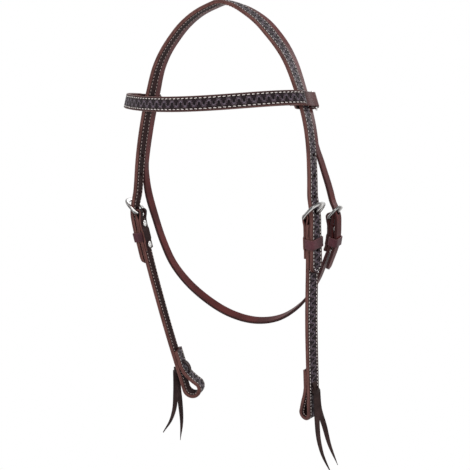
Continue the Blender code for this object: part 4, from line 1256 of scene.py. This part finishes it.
def browband_stations(side):
    """Distances from the brow's middle to the crown's front edge, the tooling's end and the loop."""
    rear = STRAP_WIDTH / 2 + THROAT_WIDTH
    places = (-STRAP_WIDTH / 2, -TOOLING_STOP[side], rear - LOOP_BEHIND[side])
    crossing = browband_crossing(side)
    return [abs(BROWBAND.nearest(CROWN.place(crossing, place, BROWBAND_OUT))) for place in places]


def loop_bars(reach):
    """The radius of the leather round a loop's bars, and the places of its outer and its rear bar."""
    radius = LOOP_WIRE / 2 + GAP + LINING / 2
    outer = (reach, -radius * 0.6)
    length = LOOP_DEPTH - LOOP_WIRE
    inwards = (OUTER + BROWBAND_ROOM + LINING) * LOOP_LEAN
    return radius, outer, (reach + math.sqrt(length**2 - inwards**2), outer[1] - inwards)


def browband():
    """Lining with its folded tabs, tooled layer and stitches, each from the brow's middle outwards."""
    tuck = -(LINING + GAP)
    run, tooled = [], []
    for side in (-1, 1):
        _, tooled_end, reach = browband_stations(side)
        radius, outer, _ = loop_bars(reach)
        start = reach - RETURN_FOLD
        half = reach - RETURN_FOLD / 2
        rise = outer[1] + radius
        stations = np.linspace(0.0, tooled_end, round(tooled_end / FINE_STEP) + 1)
        level = (tooled_end + start) / 2
        ease = spread([(level, 0.0), (start, 0.0), (half, rise * TAB_EASE[0]), (outer[0], rise)], FINE_STEP)
        inner = [(outer[0], outer[1] - radius), (half, outer[1] - radius * TAB_EASE[1])]
        tail = spread([*inner, (start, tuck)], FINE_STEP)
        tab = ease[:-1] + arc(outer, radius, 0, 180, 14) + tail[1:]
        rows = [(side * s, 0.0, 0.0) for s in stations] + [(side * s, n, TAB_PLAIN) for s, n in tab]
        run = rows if side < 0 else run[:0:-1] + rows
        brow = [side * s for s in stations]
        tooled = brow if side < 0 else tooled[:0:-1] + brow
    width = BROWBAND_WIDTH
    whole = Ribbon(BROWBAND, [(s, n) for s, n, _ in run])
    over = Ribbon(BROWBAND, [(s, OVERLAY_MIDDLE) for s in tooled])
    under = Ribbon(BROWBAND, [(s, 0.0) for s in tooled])
    plains = [plain for _, _, plain in run]
    lining = strap("browband_leather", whole, width, LINING, BROWBAND_ROUNDS, plains=plains)
    overlay = strap("browband_tooling", over, width, OVERLAY_DEPTH, OVERLAY_ROUNDS)
    sizes = (BROWBAND_STITCH_CLEAR, BROWBAND_INSET, BROWBAND_PITCH)
    return lining, overlay, *strap_stitches("browband_stitching", over, under, width, *sizes)


def browband_loop(side):
    _, outer, rear = loop_bars(browband_stations(side)[2])
    first = BROWBAND.place(side * outer[0], 0.0, outer[1])
    second = BROWBAND.place(side * rear[0], 0.0, rear[1])
    across = (second - first).normalized()
    up = Vector(BROWBAND.frame(side * outer[0])[2])
    up = (up - across * up.dot(across)).normalized()
    half = BROWBAND_WIDTH / 2 + LOOP_SIDE_ROOM + LOOP_WIRE / 2
    outline = filled_in(rounded_rectangle((0.0, -half), ((second - first).length, half), LOOP_CORNER))
    points = [first + across * x + up * y for x, y in outline]
    sections = [crowned(LOOP_WIRE, LOOP_WIRE)] * len(points)
    return wire("browband_ring_" + SIDES[side], points, across.cross(up), sections)


def browband_return(side):
    front_edge, _, reach = browband_stations(side)
    radius, _, rear = loop_bars(reach)
    inner = -(BROWBAND_OUT + BROWBAND_ROOM + LINING / 2)
    meet = -(LINING + GAP + JOIN_ROOM)
    turn = arc(rear, radius, 0, 180, 14)
    joint = front_edge - RETURN_CLEAR
    run = spread(
        [
            turn[-1],
            (rear[0] - RETURN_FOLD / 4, min(inner, turn[-1][1])),
            (rear[0] - RETURN_FOLD, inner),
            (joint, inner),
            (joint - RETURN_JOIN / 2, (inner + meet) / 2),
            (joint - RETURN_JOIN, meet),
            (joint - RETURN_JOIN * 1.4, meet),
        ],
        FINE_STEP,
    )
    ribbon = Ribbon(BROWBAND, [(side * s, n) for s, n in turn + run[1:]])
    return strap("browband_inner_" + SIDES[side], ribbon, RETURN_WIDTH, LINING, RETURN_ROUNDS)


def laid(name, keys, count, width, rounds, shares=None):
    """A length of lace along a smooth line through keys."""
    route = Route(keys)
    ribbon = Ribbon(route, [(s, 0.0) for s in np.linspace(0.0, route.distance[-1], count)])
    return strap(name, ribbon, width, TIE_THICK, rounds, shares)


def tie_tail(start, side, label):
    """One of the knot's hanging ends, curling out and tapering to a point."""
    turn = math.radians(TAIL_TURNS[label])
    across = (math.cos(turn), math.sin(turn), 0.0)
    wide, long, apart, drift = TAIL_REACH[side][label]
    keys = []
    for x, y, z in TAIL_LINES[label]:
        out = side * (TAIL_APART + x * TAIL_CURL * wide + z * drift)
        back = apart + y * TAIL_TRAIL + min(z, 0.4) * drift * 2
        keys.append((start.x + out, start.y + back, start.z - z * TAIL_LENGTH * long, *across))
    shares = [max(TAIL_LEAST, 1.0 - (i / (TAIL_ROWS - 1)) ** 3.0) for i in range(TAIL_ROWS)]
    return laid("tail", keys, TAIL_ROWS, TIE_WIDTH * 1.12, TAIL_ROUNDS, shares)


def lace_arch(place, sense, rows, lift=1.0):
    """A run of lace along the strap that comes up through one slit and goes down through the next."""
    across = place.to_3x3() @ Vector((1.0, 0.0, 0.0))
    keys = [(*(place @ Vector((side, up, sense * out * lift))), *across) for side, up, out in rows]
    return laid("arch", keys, ARCH_ROWS, TIE_WIDTH * 1.08, LACE_ROUNDS)


def bit_tie(side):
    """The lace that closes the bit loop, laid through slits in both layers and knotted outside."""
    place = crown_fold(side).matrix(CHEEK_LENGTH[side] - TIE_UP)
    top = OUTER + GAP + TIE_THICK / 2
    seat = place @ Matrix.Translation((0.0, 0.0, top + TIE_STAND))
    pieces = [lace_arch(place, -1, INNER_ARCH, LACE_LIFT[side]), lace_arch(place, 1, OUTER_ARCH)]
    # The knot: a lace that crosses over itself twice
    wave, waves = KNOT_WAVE
    for turn, wide, deep, lean in KNOT_WRAPS:
        bent = seat @ Matrix.Rotation(turn, 4, "Z")
        low = (-wide / 2, -deep / 2)
        rim = filled_in(rounded_rectangle(low, (wide / 2, deep / 2), KNOT_CORNER), TIE_THICK / 2)
        spots = [bent @ Vector((x, wave * math.sin(x * waves) + lean, z)) for x, z in rim]
        hoop = Hoop(spots, bent.to_3x3() @ Vector((0.0, 1.0, 0.0)))
        pieces.append(strap("wrap", hoop, KNOT_WIDTH, TIE_THICK * 0.9, WRAP_ROUNDS, closed=True))
    bpy.ops.mesh.primitive_uv_sphere_add(segments=24, ring_count=14, radius=0.5)
    core = bpy.context.active_object
    core.scale = KNOT_CORE
    bpy.context.view_layer.update()
    bpy.ops.object.shade_smooth()
    pieces.append(settle(core, "core", seat))
    pieces += [tie_tail(seat.translation, side, label) for label in TAIL_LINES]
    return join("bit_lace_" + SIDES[side], pieces[::-1])


def screw(name, fold, below, head):
    """A two-part screw: domed heads on both faces, the inner one slotted."""
    seat = fold.clamped + SCREW_SEAT
    place = fold.matrix(below)
    pieces = []
    for face in (1, -1):
        low, high = sorted((face * seat, face * (seat + SCREW_HEAD_THICK)))
        made = disc(head / 2, low, high, 40)
        pick(made, lambda flat: flat.normal.z * face > 0.9, "FACE")
        bpy.ops.mesh.bevel(offset=SCREW_HEAD_THICK * 0.55, segments=4, affect="EDGES")
        bpy.ops.object.mode_set(mode="OBJECT")
        pieces.append(settle(made, "head", place))
    floor = -(seat + SCREW_HEAD_THICK * 0.65)
    low = (-head, -SCREW_SLOT / 2, -(seat + SCREW_HEAD_THICK * 1.5))
    cut(pieces[-1], [chisel(place, low, (head, SCREW_SLOT / 2, floor))])
    pieces.append(drill(place, SCREW_POST / 2, -seat, seat))
    made = join(name, pieces)
    bpy.ops.object.shade_smooth_by_angle(angle=math.radians(35))
    return made


def tongue(name, node):
    """The buckle's tongue, from its solid, with its edges rolled over."""
    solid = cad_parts[node]
    made = bpy.data.objects.new(name, solid.data.copy())
    bpy.context.scene.collection.objects.link(made)
    made.matrix_world = solid.matrix_world.copy()
    mesh = bmesh.new()
    mesh.from_mesh(made.data)
    bmesh.ops.remove_doubles(mesh, verts=mesh.verts, dist=MERGE / 2)
    bmesh.ops.dissolve_limit(mesh, verts=mesh.verts, edges=mesh.edges, angle_limit=math.radians(3))
    mesh.to_mesh(made.data)
    mesh.free()
    only(made)
    bpy.ops.object.transform_apply(location=True, rotation=True, scale=True)
    step = made.modifiers.new("rolled", "BEVEL")
    step.width = TONGUE_EDGE
    step.segments = 3
    step.limit_method = "ANGLE"
    step.angle_limit = math.radians(40)
    apply_modifiers(made)
    bpy.ops.object.shade_smooth_by_angle(angle=math.radians(40))
    return made


# Finishes


class Signal:
    """A shader socket that takes part in sums."""

    def __init__(self, nodes, socket):
        self.nodes, self.socket = nodes, socket

    def sum(self, operation, *others):
        return self.nodes.node("Math", {"operation": operation}, dict(enumerate((self, *others))))

    def __add__(self, other):
        return self.sum("ADD", other)

    __radd__ = __add__

    def __sub__(self, other):
        return self.sum("SUBTRACT", other)

    def __rsub__(self, other):
        return self.nodes.node("Math", {"operation": "SUBTRACT"}, {0: other, 1: self})

    def __mul__(self, other):
        return self.sum("MULTIPLY", other)

    __rmul__ = __mul__

    def __truediv__(self, other):
        return self.sum("DIVIDE", other)

    def __pow__(self, other):
        return self.sum("POWER", other)

    def __abs__(self):
        return self.sum("ABSOLUTE")

    def high(self, other):
        return self.sum("MAXIMUM", other)

    def rise(self, start, end):
        """From 0 at start to 1 at end, eased. Start may be the higher of the two."""
        if start > end:
            return 1.0 - self.rise(end, start)
        settings = {"interpolation_type": "SMOOTHSTEP"}
        return self.nodes.node("MapRange", settings, {0: self, 1: start, 2: end, 3: 0.0, 4: 1.0})


class Nodes:
    """The shader nodes of a material or of the world."""

    def __init__(self, owner):
        owner.use_nodes = True
        self.tree = owner.node_tree

    def node(self, kind, settings=None, inputs=None, output=0):
        made = self.tree.nodes.new("ShaderNode" + kind)
        for label, value in (settings or {}).items():
            setattr(made, label, value)
        for label, value in (inputs or {}).items():
            self.feed(made.inputs[label], value)
        return Signal(self, made.outputs[output])

    def feed(self, socket, value):
        if isinstance(value, Signal):
            self.tree.links.new(value.socket, socket)
        elif isinstance(value, tuple) and len(value) == 3 and socket.type == "RGBA":
            socket.default_value = (*value, 1.0)
        else:
            socket.default_value = value

    def shown_white(self, shader, white, output):
        """Keeps a shader for the light that it gives, and shows plain white where it is seen directly."""
        rays = self.node("LightPath").socket.node.outputs
        seen = Signal(self, rays["Is Camera Ray"])
        for label in ("Is Glossy Ray", "Is Transmission Ray"):
            seen = seen.high(Signal(self, rays[label]))
        plain = self.node(white, None, {"Color": WHITE, "Strength": 1.0})
        blend = self.node("MixShader", None, {0: seen, 1: Signal(self, shader.outputs[0]), 2: plain})
        self.feed(self.tree.nodes[output].inputs[0], blend)


class Finish(Nodes):
    """A material with its surface shader."""

    def __init__(self, name, **surface):
        self.material = bpy.data.materials.new(name)
        super().__init__(self.material)
        self.surface = self.tree.nodes["Principled BSDF"]
        for label, value in surface.items():
            self.surface.inputs[label.replace("_", " ").title()].default_value = value

    def mix(self, factor, first, second):
        settings = {"data_type": "RGBA"}
        return self.node("Mix", settings, {0: factor, 6: first, 7: second}, 2)

    def mark(self, label):
        """One of the values that each point of the leather carries."""
        return self.node("Attribute", {"attribute_name": label}, output=2)

    def hide_places(self):
        """Length along the leather and place across it, in metres."""
        spot = self.node("UVMap", {"uv_map": "hide"})
        parts = self.node("SeparateXYZ", None, {0: spot})
        return parts, Signal(self, parts.socket.node.outputs[1])

    def spots(self, scale=(1.0, 1.0, 1.0)):
        place = self.node("TexCoord", output=3)
        return self.node("Mapping", None, {0: place, 3: scale})

    def noise(self, scale, detail=3.0, roughness=0.5, place=None):
        inputs = {"Vector": place or self.spots(), "Scale": scale}
        return self.node("TexNoise", None, {**inputs, "Detail": detail, "Roughness": roughness})

    def cells(self, scale):
        return self.node("TexVoronoi", None, {"Vector": self.spots(), "Scale": scale})

    def relief(self, height, distance, strength):
        bump = self.node("Bump", None, {"Strength": strength, "Distance": distance, "Height": height})
        self.out("Normal", bump)

    def out(self, label, value):
        self.feed(self.surface.inputs[label], value)


def grain(finish):
    """Fine pebbled grain, creases, and the slow mottling of dyed leather."""
    pebbles = finish.cells(1500.0)
    creases = finish.noise(420.0, 4.0, 0.6)
    mottle = finish.noise(38.0, 3.0, 0.55)
    return pebbles, creases, mottle


def darker(colour, share):
    return tuple(c * share for c in colour)


def leather(name, colour, edge_colour, rough=0.42, plain=None, gloss=0.10):
    """Dyed, oiled leather with burnished edges. Where it is marked plain it is smoother and redder."""
    finish = Finish(name, roughness=rough)
    pebbles, creases, mottle = grain(finish)
    edge = finish.mark("edge")
    tone = finish.mix(mottle.rise(0.32, 0.70), darker(colour, 0.6), darker(colour, 1.4))
    tone = finish.mix(creases.rise(0.35, 0.75) * 0.5, tone, darker(colour, 0.45))
    burnish = finish.noise(240.0, 2.0, 0.5, finish.spots((1.0, 1.0, 0.25)))
    rim = finish.mix(burnish.rise(0.35, 0.75), edge_colour, darker(edge_colour, 0.6))
    tone = finish.mix(edge, tone, rim)
    if plain:
        smooth = finish.mark("plain")
        waxed = finish.mix(mottle.rise(0.30, 0.72), darker(plain, 0.7), darker(plain, 1.35))
        waxed = finish.mix(edge.rise(0.1, 0.8), waxed, DARK_EDGE)
        tone = finish.mix(smooth, tone, waxed)
        finish.out("Coat Weight", smooth * 0.20)
        finish.out("Coat Roughness", 0.28)
    finish.out("Base Color", tone)
    finish.out("Roughness", (creases * 0.22 + rough - 0.11 + mottle * 0.10) - edge * 0.10)
    finish.out("Specular IOR Level", gloss)
    finish.relief(pebbles * 0.30 + creases * 0.9, 0.00012, 0.6)
    return finish.material


def winding_ribbon(length, spot, field):
    """Shares of the carved ribbon, of the vein along it, of the drops in its bends and of the rims round
    them, which are raised a little and carry a painted highlight.
    """
    cell_length = TOOLING_REPEAT / 2
    bend = TOOLING_REPEAT / 4
    straight = field - 0.0001 - bend - RIBBON_HALF
    cell = (length / cell_length).sum("FLOOR")
    along = length - (cell + 0.5) * cell_length
    # The bends lie to one side in even cells and to the other in odd ones
    rise = spot * (1.0 - (cell * 0.5).sum("FRACT") * 4.0)
    over = (rise - straight).high(0.0)
    arch = abs((abs(along) ** BEND_POWER + over**BEND_POWER) ** (1 / BEND_POWER) - bend)
    under = rise + straight
    beside = bend - abs(along)
    foot = (beside * beside + under * under) ** 0.5
    below = under.sum("LESS_THAN", 0.0)
    away = arch * (1.0 - below) + foot * below
    ribbon = away.rise(RIBBON_HALF, RIBBON_HALF * 0.88)
    vein = away.rise(RIBBON_HALF * 0.55, RIBBON_HALF * 0.30)
    aside, upright = along / DROP_HALF[0], (rise - straight + DROP_BACK) / DROP_HALF[1]
    out = (aside * aside + upright * upright) ** 0.5
    # A ring round the cap of each bend, raised a little and painted as a highlight
    rim = abs(out - 1.32).rise(0.40, 0.12) * rise.rise(0.0004, 0.0018)
    return ribbon, vein, out.rise(1.06, 0.78), rim


def tooled_leather(name, width, inset=STITCH_INSET):
    """Burnished margins, a stitch groove painted in shade, and between the rows a carved ribbon that winds
    about, with a painted highlight round the drop in each bend. Cut holes and the underside are painted in
    shade.
    """
    finish = Finish(name, roughness=0.45)
    _, creases, mottle = grain(finish)
    edge, face = finish.mark("edge"), finish.mark("face")
    length, spot = finish.hide_places()
    reach = width / 2 - inset
    field = reach - TOOLING_MARGIN
    ribbon, vein, drop, highlit_rim = winding_ribbon(length, spot, field)
    inside = abs(spot).rise(field + 0.0002, field - 0.0002)
    border = abs(abs(spot) - field).rise(0.00050, 0.00018)
    groove = abs(abs(spot) - reach).rise(0.0012, 0.0004)
    pricks = finish.cells(1350.0)
    raised = ribbon * (1.0 - vein * 0.35) * (1.0 - drop) * inside
    ground = inside * (1.0 - raised)
    height = raised + highlit_rim * 0.3 - border * 0.8 - ground * (0.45 + pricks * 0.6)
    height = height - groove * 0.7 + creases * 0.12

    on_face = face.rise(0.6, 0.9) * (1.0 - edge)
    mottled = mottle.rise(0.35, 0.7)
    worn = creases.rise(0.28, 0.68)
    dyed = finish.mix(creases.rise(0.3, 0.7), *GROUND_PURPLES)
    tone = finish.mix(raised, dyed, finish.mix(worn, *RIBBON_PURPLES))
    # Painted highlight on the rims round the drops
    tone = finish.mix(highlit_rim, tone, finish.mix(worn, *RIM_HIGHLIGHT_PURPLES))
    tone = finish.mix(drop, tone, DROP_DARK)
    tone = finish.mix(inside, finish.mix(mottled, *MARGIN_BROWNS), tone)
    # The stitch groove and the tooled field's border are painted in shade
    tone = finish.mix(border.high(groove * 0.7), tone, GROOVE_SHADE)
    rim = finish.mix(mottled, EDGE_BROWN, darker(EDGE_BROWN, 0.6))
    # Off the face, on hole walls and on the underside, the leather is painted in shade
    rim = finish.mix(edge.rise(0.2, 0.6), HOLE_SHADE, rim)
    finish.out("Base Color", finish.mix(1.0 - on_face, tone, rim))
    finish.out("Roughness", (0.52 - raised * 0.14 + creases * 0.10) * on_face + (1.0 - on_face) * 0.38)
    finish.out("Specular IOR Level", 0.10)
    finish.relief(height * on_face, 0.00045, 1.0)
    return finish.material


def thread_finish(name, shaded, bright):
    """Waxed off-white thread, twisted, with a little grime in it."""
    finish = Finish(name, roughness=0.55)
    twist = finish.noise(2600.0, 2.0, 0.5)
    grime = finish.noise(90.0, 3.0, 0.6)
    tone = finish.mix(twist.rise(0.35, 0.65), shaded, bright)
    tone = finish.mix(grime.rise(0.55, 0.80) * 0.35, tone, darker(shaded, 0.6))
    finish.out("Base Color", tone)
    finish.out("Roughness", twist * 0.2 + 0.45)
    finish.relief(twist, 0.00015, 0.6)
    return finish.material


def steel_finish(name, tone, rough, dark_reflection_wire=0.0):
    """Bright stainless steel with fine handling scratches. Given a wire's width, a painted dark reflection
    runs along the wire's inner and outer rims.
    """
    finish = Finish(name, metallic=1.0, roughness=rough)
    smudge = finish.noise(160.0, 3.0, 0.6)
    hairs = finish.noise(900.0, 4.0, 0.7, finish.spots((1.0, 1.0, 0.15)))
    bright = tuple(min(1.0, c * 1.25) for c in tone)
    colour = finish.mix(smudge.rise(0.3, 0.75), tone, bright)
    if dark_reflection_wire:
        # Along the rims in the loop's plane the steel is painted darker, as a reflection
        clear_of_painted_reflection = abs(finish.hide_places()[1]).rise(dark_reflection_wire * 0.20, dark_reflection_wire * 0.40)
        colour = finish.mix(clear_of_painted_reflection, darker(tone, 0.24), colour)
    finish.out("Base Color", colour)
    finish.out("Roughness", smudge * 0.18 + hairs * 0.10 + rough - 0.12)
    finish.relief(hairs, 0.00004, 0.35)
    return finish.material


# The pieces


def dress(piece, material, body, slot, *nodes):
    """Gives a piece its finish and the body that it rides on, and hides the solids that it stands for."""
    piece.data.materials.clear()
    piece.data.materials.append(material)
    if nodes:
        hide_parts(*nodes)
    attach(piece, body)


bpy.ops.object.select_all(action="DESELECT")

tooled = tooled_leather("tooled_strap", STRAP_WIDTH)
tooled_brow = tooled_leather("tooled_browband", BROWBAND_WIDTH, BROWBAND_INSET)
lining = leather("lining_leather", LINING_BROWN, EDGE_BROWN, 0.50, gloss=0.025)
crown_finish = leather("crown_leather", LINING_BROWN, EDGE_BROWN, 0.44, RED_BROWN, gloss=0.03)
keeper_leather = leather("keeper_leather", KEEPER_BROWN, KEEPER_EDGE, 0.36, gloss=0.16)
lace = leather("lace_leather", LACE_BROWN, LACE_EDGE, 0.46)
thread = thread_finish("waxed_thread", *WAXED_THREAD)
inner_thread = thread_finish("worn_thread", *WORN_THREAD)
steel = steel_finish("bright_steel", STEEL, 0.20)
buckle_steel = steel_finish("buckle_steel", BUCKLE_STEEL, 0.17, BUCKLE["wire"])


def dress_layers(pieces, finishes, body, nodes):
    """Dresses a lining, its tooled layer, and the stitches on its face and on its lining."""
    slots = ("lining", "tooled", "tooled", "lining")
    for i, (piece, finish) in enumerate(zip(pieces, (*finishes, thread, inner_thread))):
        dress(piece, finish, body, slots[i], *nodes[i : i + 1])


def fasten(fold, place, prefix, suffix, bodies, head):
    """The keeper, frame, tongue and screws of one fold. Frame and tongue ride on bodies of their own."""
    made = keeper("keeper_" + place, fold)
    dress(made, keeper_leather, "straps", "keeper", prefix + "_keeper" + suffix)
    made = buckle_frame("buckle_" + place, fold)
    dress(made, buckle_steel, bodies[0], "hardware", prefix + "_buckle" + suffix)
    node = prefix + "_tongue" + suffix
    dress(tongue("tongue_" + place, node), steel, bodies[1], "hardware", node)
    for label, below in SCREWS_BELOW.items():
        made = screw("screw_" + label + "_" + place, fold, below, head)
        dress(made, steel, "straps", "hardware", prefix + "_screw_" + label + suffix)


crown, crown_ribbon = crown_leather()
tooling, tooling_ribbon = crown_tooling()
rows = strap_stitches("crown_stitching", tooling_ribbon, crown_ribbon, STRAP_WIDTH)
dress_layers((crown, tooling, *rows), (crown_finish, tooled), "straps", ("crown_strap", "crown_overlay"))
nodes = ("browband_lining", "browband_overlay")
dress_layers(browband(), (crown_finish, tooled_brow), "browband", nodes)

for side, name in SIDES.items():
    dress(browband_loop(side), steel, "browband", "hardware", "browband_loop_" + name)
    dress(browband_return(side), lining, "browband", "lining", "browband_return_" + name)
    nodes = ("cheek_lining_" + name, "cheek_overlay_" + name)
    dress_layers(cheekpiece(side), (lining, tooled), "straps", nodes)
    dress(bit_tie(side), lace, "straps", "lace", "bit_tie_" + name)
    bodies = (name + "_buckle", name + "_tongue")
    fasten(crown_fold(side), name, "cheek", "_" + name, bodies, SCREW_HEAD)
bodies = ("throat_buckle_frame", "throat_buckle_tongue")
fasten(throat_fold(), "throat", "throat", "", bodies, THROAT_SCREW_HEAD)


# Floor, light and background

bpy.ops.object.select_all(action="DESELECT")
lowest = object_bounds()[0][2]
bpy.ops.mesh.primitive_plane_add(size=30.0, location=(0.0, 0.0, lowest - 0.002))
floor = bpy.context.active_object
floor.name = "floor"

paper = Finish("paper_floor", roughness=0.9)
paper.out("Base Color", PAPER)
paper.shown_white(paper.surface, "Emission", "Material Output")
floor.data.materials.append(paper.material)

world = bpy.data.worlds.new("studio")
bpy.context.scene.world = world
sky = Nodes(world)
backdrop = sky.tree.nodes["Background"]
sky.feed(backdrop.inputs["Color"], WHITE)
sky.feed(backdrop.inputs["Strength"], 0.42)
sky.shown_white(backdrop, "Background", "World Output")


def lamp(name, place, size, power):
    data = bpy.data.lights.new(name, "AREA")
    data.shape = "RECTANGLE"
    data.size, data.size_y = size
    data.energy = power
    made = bpy.data.objects.new(name, data)
    bpy.context.scene.collection.objects.link(made)
    made.location = place
    made.rotation_euler = (target - Vector(place)).to_track_quat("-Z", "Y").to_euler()


lamp("key_light", (1.35, -1.35, 0.75), (0.9, 1.2), 26.0)
lamp("fill_light", (-1.5, -1.1, 0.25), (0.9, 1.2), 12.0)
lamp("back_light", (0.3, 1.6, 0.6), (1.2, 0.9), 12.0)

bpy.context.scene.view_settings.view_transform = "Standard"
